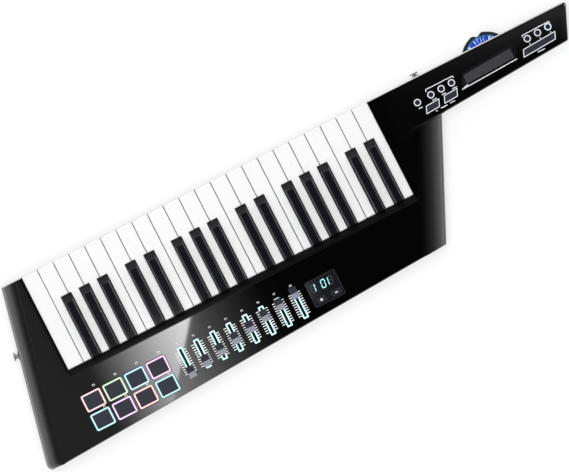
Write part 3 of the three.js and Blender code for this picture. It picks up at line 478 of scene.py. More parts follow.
def softened_copy(node: str, name: str, width: float, segments: int = 2) -> Piece:
    """Copies a CAD node, merges its loose triangles and rounds its sharp edges.

    Args:
        node: The CAD node.
        name: Name of the new piece.
        width: Width of the rounding in millimetres.
        segments: Faces across the rounding.

    Returns:
        The new object, standing for the node.
    """
    shell = bmesh.new()
    shell.from_mesh(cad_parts[node].data)
    bmesh.ops.remove_doubles(shell, verts=shell.verts, dist=3e-6)
    bmesh.ops.dissolve_limit(shell, angle_limit=math.radians(0.4), verts=shell.verts, edges=shell.edges)
    shell.verts.index_update()
    points = np.array([v.co for v in shell.verts])
    faces = [[v.index for v in face.verts] for face in shell.faces]
    shell.free()
    piece = new_piece(name, points, faces, 30.0)
    rounding = piece.modifiers.new("rounding", "BEVEL")
    rounding.width, rounding.segments = width / 1000.0, segments
    rounding.limit_method, rounding.angle_limit = "ANGLE", math.radians(34)
    rounding.miter_outer = "MITER_SHARP"
    weighting = piece.modifiers.new("flat_faces_first", "WEIGHTED_NORMAL")
    weighting.keep_sharp, weighting.weight = True, 100
    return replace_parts(piece, node)


def carve(piece: Piece, cutters: Sequence[Piece]) -> None:
    """Cuts shapes out of a piece and throws the cutters away.

    Args:
        piece: What is cut.
        cutters: Closed shapes.
    """
    for cutter in cutters:
        cut = piece.modifiers.new("carving", "BOOLEAN")
        cut.operation, cut.solver, cut.object = "DIFFERENCE", "EXACT", cutter
        with bpy.context.temp_override(object=piece, active_object=piece):
            bpy.ops.object.modifier_move_to_index(modifier=cut.name, index=0)
            bpy.ops.object.modifier_apply(modifier=cut.name)
        bpy.data.objects.remove(cutter)


# Node trees


def _sum(operation: str, swapped: bool = False) -> Callable[["Value", "Value | float"], "Value"]:
    """Makes a method of Value that adds one kind of sum.

    Args:
        operation: Blender's name of the sum.
        swapped: Whether the value itself comes second.

    Returns:
        The method.
    """

    def method(value: "Value", other: "Value | float") -> "Value":
        """Adds the sum to the value's tree."""
        return value.graph.math(operation, *((other, value) if swapped else (value, other)))

    return method


@dataclass(frozen=True)
class Value:
    """An output in a node tree. Arithmetic on it adds sums to the tree."""

    graph: "Graph"
    socket: bpy.types.NodeSocket

    __add__, __radd__ = _sum("ADD"), _sum("ADD", True)
    __sub__, __rsub__ = _sum("SUBTRACT"), _sum("SUBTRACT", True)
    __mul__, __rmul__ = _sum("MULTIPLY"), _sum("MULTIPLY", True)
    __truediv__, __pow__ = _sum("DIVIDE"), _sum("POWER")
    largest = _sum("MAXIMUM")

    def held(self) -> "Value":
        """Holds the sum that gives this value between 0 and 1."""
        self.socket.node.use_clamp = True
        return self


Feed = Value | float | Sequence[float]


class Graph:
    """Builds one node tree."""

    def __init__(self, tree: bpy.types.NodeTree) -> None:
        """Takes over a node tree."""
        self.tree = tree

    def feed(self, socket: bpy.types.NodeSocket, value: Feed) -> None:
        """Links a value to an input, or sets the input to a number or a colour.

        Args:
            socket: The input.
            value: What goes in.
        """
        if isinstance(value, Value):
            self.tree.links.new(value.socket, socket)
        else:
            socket.default_value = value

    def node(self, kind: str, feeds: dict[str | int, Feed] | None = None, **settings: object) -> bpy.types.Node:
        """Adds a node.

        Args:
            kind: Blender's name of the node, less its prefix.
            feeds: What goes into its inputs, by name or number.
            **settings: Its properties.

        Returns:
            The node.
        """
        made = self.tree.nodes.new(f"ShaderNode{kind}")
        for name, value in settings.items():
            setattr(made, name, value)
        for name, value in (feeds or {}).items():
            self.feed(made.inputs[name], value)
        return made

    def out(
        self, kind: str, feeds: dict[str | int, Feed] | None = None, output: str | int = 0, **settings: object
    ) -> Value:
        """Adds a node and gives one of its outputs.

        Args:
            kind: Blender's name of the node, less its prefix.
            feeds: What goes into its inputs, by name or number.
            output: Which output, by name or number.
            **settings: Its properties.

        Returns:
            The output.
        """
        return Value(self, self.node(kind, feeds, **settings).outputs[output])

    def math(self, operation: str, *values: Value | float) -> Value:
        """Adds a sum of the kind named."""
        return self.out("Math", dict(enumerate(values)), operation=operation)

    def blend(self, factor: Value, first: Feed, second: Feed) -> Value:
        """Mixes two colours: the first where the factor is 0 and the second where it is 1."""
        return self.out("Mix", {0: factor, 6: first, 7: second}, 2, data_type="RGBA")

    def mix(self, factor: Value, first: Feed, second: Feed) -> Value:
        """Mixes two numbers: the first where the factor is 0 and the second where it is 1."""
        return self.out("Mix", {0: factor, 2: first, 3: second})

    def axes(self, place: Value) -> list[Value]:
        """Takes a place apart into X, Y and Z."""
        return [Value(self, output) for output in self.node("SeparateXYZ", {0: place}).outputs]

    def rays(self, *names: str) -> list[Value]:
        """Gives masks of the kinds of ray named."""
        paths = self.node("LightPath")
        return [Value(self, paths.outputs[f"Is {name} Ray"]) for name in names]

    def ramp(self, factor: Value, stops: Sequence[tuple[float, Sequence[float]]]) -> Value:
        """Gives a colour between stops.

        Args:
            factor: Where along the ramp.
            stops: Places along the ramp, in order, and their colours.

        Returns:
            The colour.
        """
        node = self.node("ValToRGB", {0: factor})
        elements = node.color_ramp.elements
        for element, (position, colour) in zip((elements[0], elements[1]), (stops[0], stops[-1])):
            element.position, element.color = position, colour
        for position, colour in stops[1:-1]:
            elements.new(position).color = colour
        return Value(self, node.outputs["Color"])

    def effect(self, effect: "Effect", value: Value, **others: float) -> Value:
        """Places a shared group.

        Args:
            effect: Which group.
            value: What feeds its first input.
            **others: Its other inputs, by name.

        Returns:
            The group's output.
        """
        return self.out("Group", {0: value, **others}, node_tree=effect.group())


class Effect(Enum):
    """Shared node groups: name in the file, inputs with their defaults, where None is a vector, and output."""

    GRAIN = ("moulded_grain", {"Vector": None, "Scale": 2500.0, "Softness": 0.5}, "Height")
    HANDLING = ("handling_marks", {"Vector": None, "Scale": 14.0, "Low": 0.1, "High": 0.2}, "Roughness")
    MOTTLE = ("colour_mottle", {"Vector": None, "Scale": 60.0}, "Mask")
    BETWEEN = ("between_two_places", {"Value": 0.0, "Low": 0.0, "High": 1.0, "Soft": 0.0002}, "Mask")

    def group(self) -> bpy.types.NodeTree:
        """Gives the group, building it the first time.

        Returns:
            The group's tree.
        """
        name, inputs, output = self.value
        found = bpy.data.node_groups.get(name)
        if found:
            return found
        tree = bpy.data.node_groups.new(name, "ShaderNodeTree")
        for key, value in inputs.items():
            kind = "NodeSocketVector" if value is None else "NodeSocketFloat"
            made = tree.interface.new_socket(key, in_out="INPUT", socket_type=kind)
            if value is not None:
                made.default_value = value
        tree.interface.new_socket(output, in_out="OUTPUT", socket_type="NodeSocketFloat")
        graph, start, end = Graph(tree), tree.nodes.new("NodeGroupInput"), tree.nodes.new("NodeGroupOutput")
        given = {key: Value(graph, start.outputs[key]) for key in inputs}
        graph.feed(end.inputs[output], self._fill(graph, given))
        return tree

    def _fill(self, graph: Graph, given: dict[str, Value]) -> Value:
        """Builds what the group holds.

        Between is 1 where a value lies between two limits, with a soft step at each: the product of
        (value - low) / soft and (high - value) / soft, each held between 0 and 1. The rest are noise: mottle is the
        noise itself, grain is noise evened out towards the middle, and handling is a roughness between two values.

        Args:
            graph: The group's nodes.
            given: Its inputs, by name.

        Returns:
            What it puts out.
        """
        if self is Effect.BETWEEN:
            value, soft = given["Value"], given["Soft"]
            return ((value - given["Low"]) / soft).held() * ((given["High"] - value) / soft).held()
        detail, rough = {Effect.GRAIN: (3.0, 0.55), Effect.HANDLING: (5.0, 0.6), Effect.MOTTLE: (4.0, 0.5)}[self]
        feeds = {"Vector": given["Vector"], "Scale": given["Scale"], "Detail": detail, "Roughness": rough}
        noise = graph.out("TexNoise", feeds)
        if self is Effect.GRAIN:
            return graph.mix(given["Softness"], noise, 0.5)
        if self is Effect.HANDLING:
            limits = {"From Min": 0.35, "From Max": 0.65, "To Min": given["Low"], "To Max": given["High"]}
            return graph.out("MapRange", {"Value": noise, **limits})
        return noise


class Shader(Graph):
    """Builds a material round its surface node."""

    def __init__(self, material: bpy.types.Material) -> None:
        """Switches a new material's nodes on and takes them over.

        Args:
            material: The material.
        """
        material.use_nodes = True
        super().__init__(material.node_tree)
        self.surface = self.tree.nodes["Principled BSDF"]

    @cached_property
    def place(self) -> Value:
        """The place on the object."""
        return self.out("TexCoord", output="Object")

    def attribute(self, name: str, output: str = "Fac") -> Value:
        """Reads an attribute of the mesh."""
        return self.out("Attribute", output=output, attribute_name=name)

    def fed(self, name: str) -> Value:
        """Gives what feeds one of the surface's inputs so far."""
        return Value(self, self.surface.inputs[name].links[0].from_socket)

    def dress(self, feeds: dict[str, Feed]) -> None:
        """Feeds the surface's inputs."""
        for name, value in feeds.items():
            self.feed(self.surface.inputs[name], value)

    def inside(self, **limits: Pair) -> Value:
        """Gives a mask that is 1 inside a box on the object: the product of each axis's mask.

        Args:
            **limits: X, Y or Z, each with its least and its greatest place in millimetres.

        Returns:
            The mask.
        """
        masks = []
        for i, (axis, value) in enumerate(zip("XYZ", self.axes(self.place))):
            if axis in limits:
                low, high = PLACE.metres(np.array([limits[axis]] * 3).T)[:, i]
                masks.append(self.effect(Effect.BETWEEN, value, Low=float(low), High=float(high)))
        return reduce(Value.__mul__, masks)


# Materials


def light(levels: Levels) -> tuple[float, float, float, float]:
    """Turns screen levels from 0 to 255 into linear light: ((level / 255 + 0.055) / 1.055) to the power 2.4.

    Args:
        levels: Red, green and blue.

    Returns:
        Red, green and blue light, and 1 for opaque.
    """
    share = np.array(levels, float) / 255.0
    value = np.where(share <= 0.04045, share / 12.92, ((share + 0.055) / 1.055) ** 2.4)
    return (float(value[0]), float(value[1]), float(value[2]), 1.0)


@dataclass(frozen=True)
class Finish:
    """A moulded, printed or metal surface: two close colours, marks of handling, and grain."""

    name: str
    colour: Levels
    second: Levels
    low: float = 0.3
    high: float = 0.45
    grain: float = 2500.0
    depth: float = 0.00002
    mottle: float = 60.0
    coat: float = 0.0
    coat_roughness: float = 0.05
    metal: float = 0.0
    specular: float = 0.5

    def material(self) -> bpy.types.Material:
        """Gives the material, building it the first time."""
        return bpy.data.materials.get(self.name) or self.build()

    def build(self) -> bpy.types.Material:
        """Builds the node tree: mottled colour, roughness by handling, and a bump from the grain.

        Returns:
            The material.
        """
        made = bpy.data.materials.new(self.name)
        shader = Shader(made)
        mottle = shader.effect(Effect.MOTTLE, shader.place, Scale=self.mottle)
        height = shader.effect(Effect.GRAIN, shader.place, Scale=self.grain)
        shader.dress({
            "Metallic": self.metal,
            "Coat Weight": self.coat,
            "Coat Roughness": self.coat_roughness,
            "Specular IOR Level": self.specular,
            "Base Color": shader.blend(mottle, light(self.colour), light(self.second)),
            "Roughness": shader.effect(Effect.HANDLING, shader.place, Low=self.low, High=self.high),
            "Normal": shader.out("Bump", {"Distance": self.depth, "Height": height}),
        })
        self.dress(shader)
        return made

    def dress(self, shader: Shader) -> None:
        """Adds what a special finish needs; a plain one needs nothing more."""


@dataclass(frozen=True)
class PanelFinish(Finish):
    """Gloss lacquer that is satin on the strip behind the keys, at the walls' foot and at the neck's root.

    The strip and the root are limits of X and of Y, and the lip, the front edge's bevel painted pale as a highlight,
    is limits of Y.
    """

    wall_foot: float = 37.0
    strip: tuple[Pair, Pair] = ((29.8, 548.2), (-147.6, -136.4))
    strip_colour: Levels = (4, 4, 5)
    root: tuple[Pair, Pair] = ((584.0, 634.0), (-60.6, -55.8))
    lip: Pair = (0.4, 1.9)
    painted_highlight_colour: Levels = (214, 215, 218)
    satin: float = 0.3

    def dress(self, shader: Shader) -> None:
        """Takes the coat off and roughens where it is satin, colours the strip, and paints the front edge's lip pale
        as a painted highlight.

        Args:
            shader: The material's nodes.
        """
        strip = shader.inside(X=self.strip[0], Y=self.strip[1])
        root = shader.inside(X=self.root[0], Y=self.root[1])
        # Painted highlight: the lip mask marks the front edge's narrow bevel, which gets a pale base colour standing
        # for the bright line of light along it.
        lip = shader.inside(Y=self.lip, Z=(self.wall_foot, 1000.0))
        satin = strip.largest(shader.inside(Z=(-1000.0, self.wall_foot))).largest(root)
        lined = shader.blend(strip, shader.fed("Base Color"), light(self.strip_colour))
        shader.dress({
            "Base Color": shader.blend(lip, lined, light(self.painted_highlight_colour)),
            "Roughness": shader.mix(satin, shader.fed("Roughness"), self.satin),
            "Coat Weight": self.coat - satin,
        })


@dataclass(frozen=True)
class SharpFinish(Finish):
    """Black key plastic, polished along its highest edges by playing."""

    polished_from: float = 59.7

    def dress(self, shader: Shader) -> None:
        """Puts the coat above one height alone."""
        shader.dress({"Coat Weight": shader.inside(Z=(self.polished_from, 1000.0))})


@dataclass(frozen=True)
class LitFinish(Finish):
    """A light guide: its glow is palest along the middle of its band and takes its tint at both sides."""

    glow: Levels = (250, 250, 250)
    tint: Levels = (200, 200, 200)
    strength: float = 1.0

    def dress(self, shader: Shader) -> None:
        """Feeds the emission from the mesh's attribute 'across', which is 1 along the middle of the band."""
        glow = shader.blend(shader.attribute("across"), light(self.tint), light(self.glow))
        shader.dress({"Emission Color": glow, "Emission Strength": self.strength})


@dataclass(frozen=True)
class BoardFinish(Finish):
    """Green circuit board where the board's own layer is, and dark plastic above, below and in front of it."""

    socket_reach: float = 12.0
    layer: Pair = (0.0399, 0.04165)
    layer_colour: Levels = (18, 92, 58)

    def dress(self, shader: Shader) -> None:
        """Swaps the colour between two heights, further in than the sockets reach from the lower edge.

        The distance in from the lower edge is the place's dot product with the edge's inward direction, less that
        of a point on the edge.

        Args:
            shader: The material's nodes.
        """
        height = shader.axes(shader.place)[2]
        layer = shader.effect(Effect.BETWEEN, height, Low=self.layer[0], High=self.layer[1], Soft=0.00005)
        start = float(PLACE.metres(np.array([LOWER_X, LOWER_Y, 0.0])) @ np.array(LOWER_IN))
        depth = shader.out("VectorMath", {0: shader.place, 1: LOWER_IN}, "Value", operation="DOT_PRODUCT")
        past = shader.effect(Effect.BETWEEN, depth, Low=start + self.socket_reach / 1000.0, High=start + 1.0)
        shader.dress({"Base Color": shader.blend(layer * past, shader.fed("Base Color"), light(self.layer_colour))})


@dataclass(frozen=True)
class SmokeFinish(Finish):
    """Clear smoke plastic that takes on some of the light of what it surrounds."""

    clear: float = 0.12
    taken_on: Levels = (34, 74, 98)
    bending: float = 1.46

    def dress(self, shader: Shader) -> None:
        """Lets light through, and glows where the mesh's attribute 'across' is 1.

        Args:
            shader: The material's nodes.
        """
        glow = shader.blend(shader.attribute("across"), light((0, 0, 0)), light(self.taken_on))
        lets = {"Transmission Weight": self.clear, "IOR": self.bending}
        shader.dress({**lets, "Emission Color": glow, "Emission Strength": 1.0})


@dataclass(frozen=True)
class CoreFinish(Finish):
    """Lit blue core with pale streaks that run outwards between its facets."""

    streaks: tuple[tuple[float, Levels], ...] = ((0.45, (8, 10, 108)), (0.53, (22, 74, 232)), (0.60, (212, 244, 255)))
    edge_colour: Levels = (64, 170, 226)
    edge_share: float = 0.25
    strength: float = 0.9

    def dress(self, shader: Shader) -> None:
        """Feeds the emission from noise on the mesh's attribute 'polar': deep blue, bright blue, then near white.

        Where the attribute 'across' is 1, along the core's outer edge, the colour is a quarter of the way to cyan.

        Args:
            shader: The material's nodes.
        """
        streaks = shader.effect(Effect.MOTTLE, shader.attribute("polar", "Vector"), Scale=1.0)
        blue = shader.ramp(streaks, [(position, light(levels)) for position, levels in self.streaks])
        glow = shader.blend(shader.attribute("across") * self.edge_share, blue, light(self.edge_colour))
        shader.dress({"Emission Color": glow, "Emission Strength": self.strength})


# After the name: both colours, then low, high, grain, depth, mottle, coat and coat roughness.
LACQUER = ((4, 4, 5), (6, 6, 7), 0.04, 0.07, 900.0, 0.000001, 30.0, 1.0, 0.02)
SLATE_FEEL = (0.5, 0.62, 2600.0, 0.00002, 90.0)
CAP_FEEL = (2400.0, 0.00002, 200.0)

GLOSS = PanelFinish("gloss_black_lacquer", *LACQUER)
MATT = Finish("textured_black_case", (38, 38, 40), (44, 44, 46), 0.5, 0.62, 1800.0, 0.00006)
WHITE_KEY = Finish("white_key_plastic", (245, 245, 245), (246, 246, 246), 0.25, 0.28, 1200.0, 0.000004, 22.0, 0.2)
BLACK_KEY = SharpFinish(
    "black_key_plastic", (17, 17, 21), (23, 23, 28), 0.16, 0.22, 2200.0, 0.000003, 45.0, specular=0.12
)
FRAME_PLASTIC = Finish("key_frame_plastic", (52, 53, 56), (60, 61, 64), 0.5, 0.6, 1500.0, 0.00005)
BOARD = BoardFinish("board_and_its_parts", (17, 17, 18), (22, 22, 23), 0.4, 0.55, 1600.0, 0.00002)
SILICONE = Finish("dark_silicone", (46, 46, 54), (52, 52, 61), 0.55, 0.7, 2600.0, 0.00002)
SLATE = Finish("slate_silicone", (49, 52, 61), (54, 57, 67), *SLATE_FEEL, specular=0.25)
SLATE_DARK = Finish("dark_slate_silicone", (44, 46, 55), (49, 51, 61), *SLATE_FEEL, specular=0.25)
SLATE_DEEP = Finish("deep_slate_silicone", (32, 34, 41), (36, 38, 46), *SLATE_FEEL, specular=0.25)
CAP_DARK = Finish("fader_cap_dark_grip", (50, 50, 61), (56, 56, 67), 0.45, 0.55, *CAP_FEEL, specular=0.1)
# Pale copy of the cap's colour: a painted highlight for the cap's slope that faces -Y.
CAP_PAINTED_LIT = Finish("fader_cap_painted_lit_slope", (154, 156, 170), (162, 164, 178), 0.4, 0.5, *CAP_FEEL, specular=0.3)
PRINT = Finish("white_print", (236, 237, 239), (248, 248, 250), 0.5, 0.6, 3000.0, 0.00001, 400.0)
LENS = Finish("display_lens", (20, 20, 24), (24, 24, 29), 0.16, 0.22, 900.0, 0.000003, 60.0, 0.4, 0.08)
STRIP = Finish("touch_strip_film", (42, 42, 44), (72, 72, 75), 0.38, 0.46, 3200.0, 0.00001, 520.0, specular=0.3)
STRIP_BED = Finish("touch_strip_bed", (22, 22, 25), (28, 28, 31), 0.4, 0.5, 2400.0, 0.00001, 30.0, specular=0.3)
STRIP_LIP = Finish("touch_strip_lip", (14, 13, 16), (18, 17, 21), 0.4, 0.5, 2400.0, 0.00001, 60.0, specular=0.3)
SMOKE = SmokeFinish("clear_smoke_rim", (24, 26, 32), (30, 33, 40), 0.08, 0.14, 1500.0, 0.000003)
CORE = CoreFinish("lit_blue_core", (5, 9, 92), (9, 17, 112), 0.25, 0.35, 1500.0, 0.00001, specular=0.1)
CHROME = Finish("polished_chrome", (214, 215, 218), (224, 224, 226), 0.12, 0.22, 1200.0, 0.000003, 50.0, metal=0.8)
STEEL = Finish("black_screw_steel", (70, 70, 72), (84, 84, 86), 0.28, 0.4, 2600.0, 0.00001, 300.0, metal=1.0)
BRASS = Finish("contact_brass", (206, 170, 96), (218, 184, 112), 0.2, 0.3, 2600.0, 0.000005, 300.0, metal=1.0)
LIT_SLOT = LitFinish("lit_slot_edge", (120, 150, 150), (130, 160, 160), glow=(222, 250, 250), tint=(96, 178, 182))
LIT_RING = LitFinish("lit_button_ring", (90, 90, 96), (100, 100, 106), glow=(222, 222, 230), tint=(110, 110, 122))
LIT_BLUE = LitFinish(
    "lit_button_ring_bright", (90, 110, 130), (100, 120, 140), glow=(226, 242, 252), tint=(110, 160, 205)
)
LIT_EDGE = LitFinish("lit_key_edge", (90, 90, 98), (100, 100, 108), glow=(238, 238, 243), tint=(130, 130, 142))
DIGIT = LitFinish("lit_digit", (90, 140, 140), (100, 150, 150), glow=(165, 242, 242), tint=(165, 242, 242))
DIM_DIGIT = LitFinish("unlit_digit", (44, 50, 54), (48, 54, 58), glow=(20, 30, 32), tint=(20, 30, 32))


class Glow(Enum):
    """Colours of the pads' light guides: the frame's pale middle, and the colour that it throws beside it."""

    CORAL = ((255, 238, 238), (150, 44, 52))
    GREEN = ((234, 248, 226), (52, 120, 48))
    AQUA = ((214, 244, 250), (44, 112, 150))
    MAGENTA = ((252, 230, 247), (140, 52, 128))
    ICE = ((214, 246, 248), (40, 116, 132))
    LILAC = ((248, 232, 250), (118, 58, 150))
    SALMON = ((254, 234, 232), (158, 52, 42))
    CYAN = ((212, 248, 248), (36, 128, 132))

    def frame(self) -> LitFinish:
        """Gives the finish of the pad's frame.

        Returns:
            The finish.
        """
        pale, deep = self.value
        body = tuple(0.5 * level for level in deep)
        return LitFinish(f"pad_frame_{self.name.lower()}", body, body, glow=pale, tint=deep, strength=1.2)

    def halo(self) -> LitFinish:
        """Gives the finish of the light that bleeds into the panel round the frame."""
        deep = tuple(0.75 * level for level in self.value[1])
        return LitFinish(f"pad_halo_{self.name.lower()}", *LACQUER, glow=deep, tint=(0, 0, 0), strength=0.9)


def mark_across(piece: Piece, values: Numbers) -> Piece:
    """Stores how near each point is to the middle of its band, from 0 to 1, as the attribute 'across'.

    Args:
        piece: The piece.
        values: One for each point, for each ring of equal count, or for the whole piece.

    Returns:
        The same piece.
    """
    values = np.asarray(values, np.float32).ravel()
    attribute = piece.data.attributes.new("across", "FLOAT", "POINT")
    attribute.data.foreach_set("value", np.repeat(values, len(piece.data.vertices) // len(values)))
    return piece


def lit_band(name: str, outline: Outline, profile: Array, fringe: float) -> Piece:
    """Makes a light guide: a band carried round an outline, palest along the middle of its width.

    Where n runs from 0 at either side of the band to 1 along its middle, the mark is (n - fringe) / 0.3, held
    between 0 and 1.

    Args:
        name: Name of the piece.
        outline: What the band follows.
        profile: The band's insets and heights.
        fringe: Share of its half width that keeps the tint.

    Returns:
        The new object.
    """
    outer, inner = profile[0, 0], profile[-1, 0]
    nearness = 1 - np.abs((profile[:, 0] - outer) / (inner - outer) * 2 - 1)
    piece = skin(name, outline.carried(profile), hoop=True, sharp=60)
    return mark_across(piece, np.clip((nearness - fringe) / 0.3, 0, 1))


# Sub-assemblies


@dataclass
class Assembly:
    """A group of pieces that are built, dressed and put on their bodies together."""

    made: list[Piece] = field(default_factory=list, init=False)

    def settle(self, piece: Piece, finish: Finish, slot: str, body: str = "case", instead_of: str = "") -> Piece:
        """Dresses a piece and puts it on its body.

        Args:
            piece: The piece, in place.
            finish: Its finish.
            slot: Not used; the name of a material slot.
            body: The body that it rides on.
            instead_of: The CAD node that it stands for, if any.

        Returns:
            The same piece.
        """
        piece.data.materials.append(finish.material())
        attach(piece, body)
        if instead_of:
            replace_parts(piece, instead_of)
        self.made.append(piece)
        return piece

    @staticmethod
    def keep(node: str, finish: Finish) -> None:
        """Gives a CAD node that keeps its own shape a better material.

        Args:
            node: The CAD node.
            finish: Its finish.
        """
        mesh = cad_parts[node].data
        mesh.materials.clear()
        mesh.materials.append(finish.material())


@dataclass
class Case(Assembly):
    """The covers, the battery door and their screws. A screw's place is X, Y and the height of the back there."""

    cover_rounding: float = 0.3
    rear_rounding: float = 0.5
    door_rounding: float = 0.4
    fold: float = 51.54
    lip_top: float = 0.3
    lip_foot: Pair = (1.45, 51.3)
    screw_places: tuple[Triple, ...] = (
        (22.8, -10.3, 0.0), (6.3, -147.5, 0.0), (-23.5, -235.0, 0.0), (513.0, -208.5, 0.0),
        (558.0, -78.0, 0.0), (610.5, -10.3, 0.0), (679.0, -45.5, 18.0), (828.0, -14.5, 18.0),
    )
    screw_radius: float = 2.6
    screw_play: float = 0.4
    recess: float = 1.2
    grip_x: Pair = (450.0, 476.0)
    grip_first: float = -203.0
    grip_pitch: float = 2.6
    grip_count: int = 5
    groove_width: float = 1.2
    groove_depth: float = 0.7

    def build(self) -> list[Piece]:
        """Builds the covers, sinks the screws and cuts the door's finger grip.

        Returns:
            The pieces.
        """
        top = softened_copy("top_cover", "top_cover_lacquered", self.cover_rounding, 3)
        self._flatten_lip(top)
        self.settle(top, GLOSS, "gloss_case")
        rear = softened_copy("rear_cover", "rear_cover_textured", self.rear_rounding)
        carve(rear, [self._well(i, place) for i, place in enumerate(self.screw_places, 1)])
        self.settle(rear, MATT, "matt_case")
        for i, place in enumerate(self.screw_places, 1):
            self.settle(self._screw(i, place), STEEL, "matt_case")
        door = softened_copy("battery_door", "battery_door_textured", self.door_rounding)
        carve(door, [self._groove(i) for i in range(self.grip_count)])
        self.settle(door, MATT, "matt_case", "battery_door")
        return self.made

    def _flatten_lip(self, cover: Piece) -> None:
        """Makes the front edge's rounding one flat, narrow bevel.

        At the front, the points at the panel's top go back to the lip's top, and those at the fold to its foot.

        Args:
            cover: The top cover's copy.
        """
        shift = np.array([PLACE.shift_x, PLACE.shift_y, 0.0])
        place = read(cover.data.vertices, "co") * 1000.0 + shift
        upper = (np.abs(place[:, 2] - PANEL_TOP) < 0.05) & (place[:, 1] > 0.7)
        lower = (np.abs(place[:, 2] - self.fold) < 0.05) & (place[:, 1] > 1.15)
        place[upper, 1] = self.lip_top
        place[lower, 1:] = self.lip_foot
        cover.data.vertices.foreach_set("co", PLACE.metres(place).astype(np.float32).ravel())
        cover.data.update()

    def _well(self, index: int, place: Triple) -> Piece:
        """Makes the cutter for a screw's round recess."""
        reach = self.screw_radius + self.screw_play
        return skin(f"well_{index}", turned_rings([reach, reach], [-1.0, self.recess], place, UP, 28))

    def _screw(self, index: int, place: Triple) -> Piece:
        """Makes a domed screw head with a cross recess.

        At radius r the head stands 0.5 + 0.28 × (1 - (r / R)²) proud, less 0.42 in the cross.

        Args:
            index: Which screw.
            place: Where it is.

        Returns:
            The screw head.
        """
        x, y, back = place
        share = np.linspace(0.92, 0.03, 13)
        radius = np.concatenate([[self.screw_radius, self.screw_radius], self.screw_radius * share])
        cross = cross_recess(radius, 48, 0.36, 1.45).astype(float)
        along = 0.5 + 0.28 * (1 - (radius[:, None] / self.screw_radius) ** 2) - 0.42 * cross
        along[0] = 0.0
        foot = (x, y, back + self.recess + 0.05)
        return skin(f"cover_screw_{index}", turned_rings(radius, along, foot, (0, 0, -1), 48))

    def _groove(self, index: int) -> Piece:
        """Makes the cutter for one groove of the door's grip.

        Args:
            index: Which groove, from 0.

        Returns:
            The cutter.
        """
        y, (low, high) = self.grip_first + self.grip_pitch * index, self.grip_x
        shape = Outline.rectangle((low + high) / 2, y, high - low, self.groove_width, self.groove_width / 2 - 0.01)
        return skin(f"groove_{index + 1}", shape.carried([(0.0, -1.0), (0.0, self.groove_depth)]))


@dataclass
class Keyboard(Assembly):
    """The 22 white and 15 black keys on their frame."""

    white_rounding: float = 0.35
    black_rounding: float = 0.75

    def build(self) -> list[Piece]:
        """Rounds every key's edges and dresses the frame under them.

        Returns:
            The pieces.
        """
        kinds = {"white_key": (self.white_rounding, WHITE_KEY), "black_key": (self.black_rounding, BLACK_KEY)}
        for node in sorted(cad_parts):
            if node[:9] in kinds:
                rounding, finish = kinds[node[:9]]
                self.settle(softened_copy(node, f"{node}_cap", rounding), finish, node[:9], node)
        self.keep("keybed_frame", FRAME_PLASTIC)
        return self.made


@dataclass
class PadBank(Assembly):
    """Eight silicone pads with lit frames, their sheet under the panel, and their numbers."""

    columns: tuple[float, ...] = (42.8, 75.0, 107.2, 139.4)
    rows: Pair = (-187.8, -215.8)
    width: float = 28.4
    depth: float = 24.3
    radius: float = 2.6
    frame_width: float = 2.6
    sheet_size: Pair = (130.1, 57.5)
    sheet_low: float = 46.2
    sheet_high: float = 49.2
    frame_rise: float = 0.95
    face_rise: float = 0.7
    halo_width: float = 0.9
    halo_marks: tuple[float, ...] = (0.0, 0.0, 0.7, 1.0, 1.0)
    glows: tuple[Glow, ...] = (
        Glow.CORAL, Glow.GREEN, Glow.AQUA, Glow.MAGENTA, Glow.ICE, Glow.LILAC, Glow.SALMON, Glow.CYAN,
    )
    numbers: str = "56781234"
    number_size: float = 4.0
    number_aside: float = 9.0
    number_over: Pair = (5.9, 2.0)

    def build(self) -> list[Piece]:
        """Builds the sheet, then each pad with its frame, halo and number.

        Returns:
            The pieces.
        """
        middle = (self.columns[0] + self.columns[-1]) / 2, (self.rows[0] + self.rows[-1]) / 2
        shape = Outline.rectangle(*middle, *self.sheet_size, self.radius)
        sheet = skin("pad_sheet", shape.carried(slab_profile(self.sheet_low, self.sheet_high, 0.4)))
        self.settle(sheet, SILICONE, "silicone", instead_of="pad_mat")
        places = [(x, y, over) for y, over in zip(self.rows, self.number_over) for x in self.columns]
        for i, ((x, y, over), glow, number) in enumerate(zip(places, self.glows, self.numbers), 1):
            self._pad(i, x, y, glow)
            place = x + self.number_aside, y + self.depth / 2 + over
            self.settle(figure(f"pad_number_{i}", f"P{number}", self.number_size, *place), PRINT, "silicone")
        return self.made

    def _pad(self, index: int, x: float, y: float, glow: Glow) -> None:
        """Builds one pad: a crowned face inside a light guide, with a glow on the panel round it.

        Args:
            index: Which pad.
            x: Middle across.
            y: Middle up.
            glow: Colours of its light.
        """
        outline = Outline.rectangle(x, y, self.width, self.depth, self.radius)
        band = band_profile(0.0, self.frame_width, self.sheet_high, PANEL_TOP + self.frame_rise, 0.5)
        edge = lit_band(f"pad_light_{index}", outline, band, 0.16)
        self.settle(edge, glow.frame(), "silicone", instead_of="pad_mat")
        width, depth = self.width - self.frame_width * 2, self.depth - self.frame_width * 2
        face = Outline.rectangle(x, y, width, depth, self.radius - 1.2)
        reach = self.depth / 2 - self.frame_width - 1.2
        profile = slab_profile(self.sheet_high, PANEL_TOP + self.face_rise, 0.5, 0.35, reach)
        self.settle(skin(f"pad_face_{index}", face.carried(profile)), SLATE, "silicone", instead_of="pad_mat")
        low, high = PANEL_TOP - 0.02, PANEL_TOP + 0.05
        profile = [
            (-self.halo_width, low), (-self.halo_width, PANEL_TOP + 0.03), (-0.6, high), (-0.4, high), (-0.4, low),
        ]
        halo = skin(f"pad_halo_{index}", outline.carried(profile), hoop=True, sharp=60)
        self.settle(mark_across(halo, self.halo_marks), glow.halo(), "gloss_case")


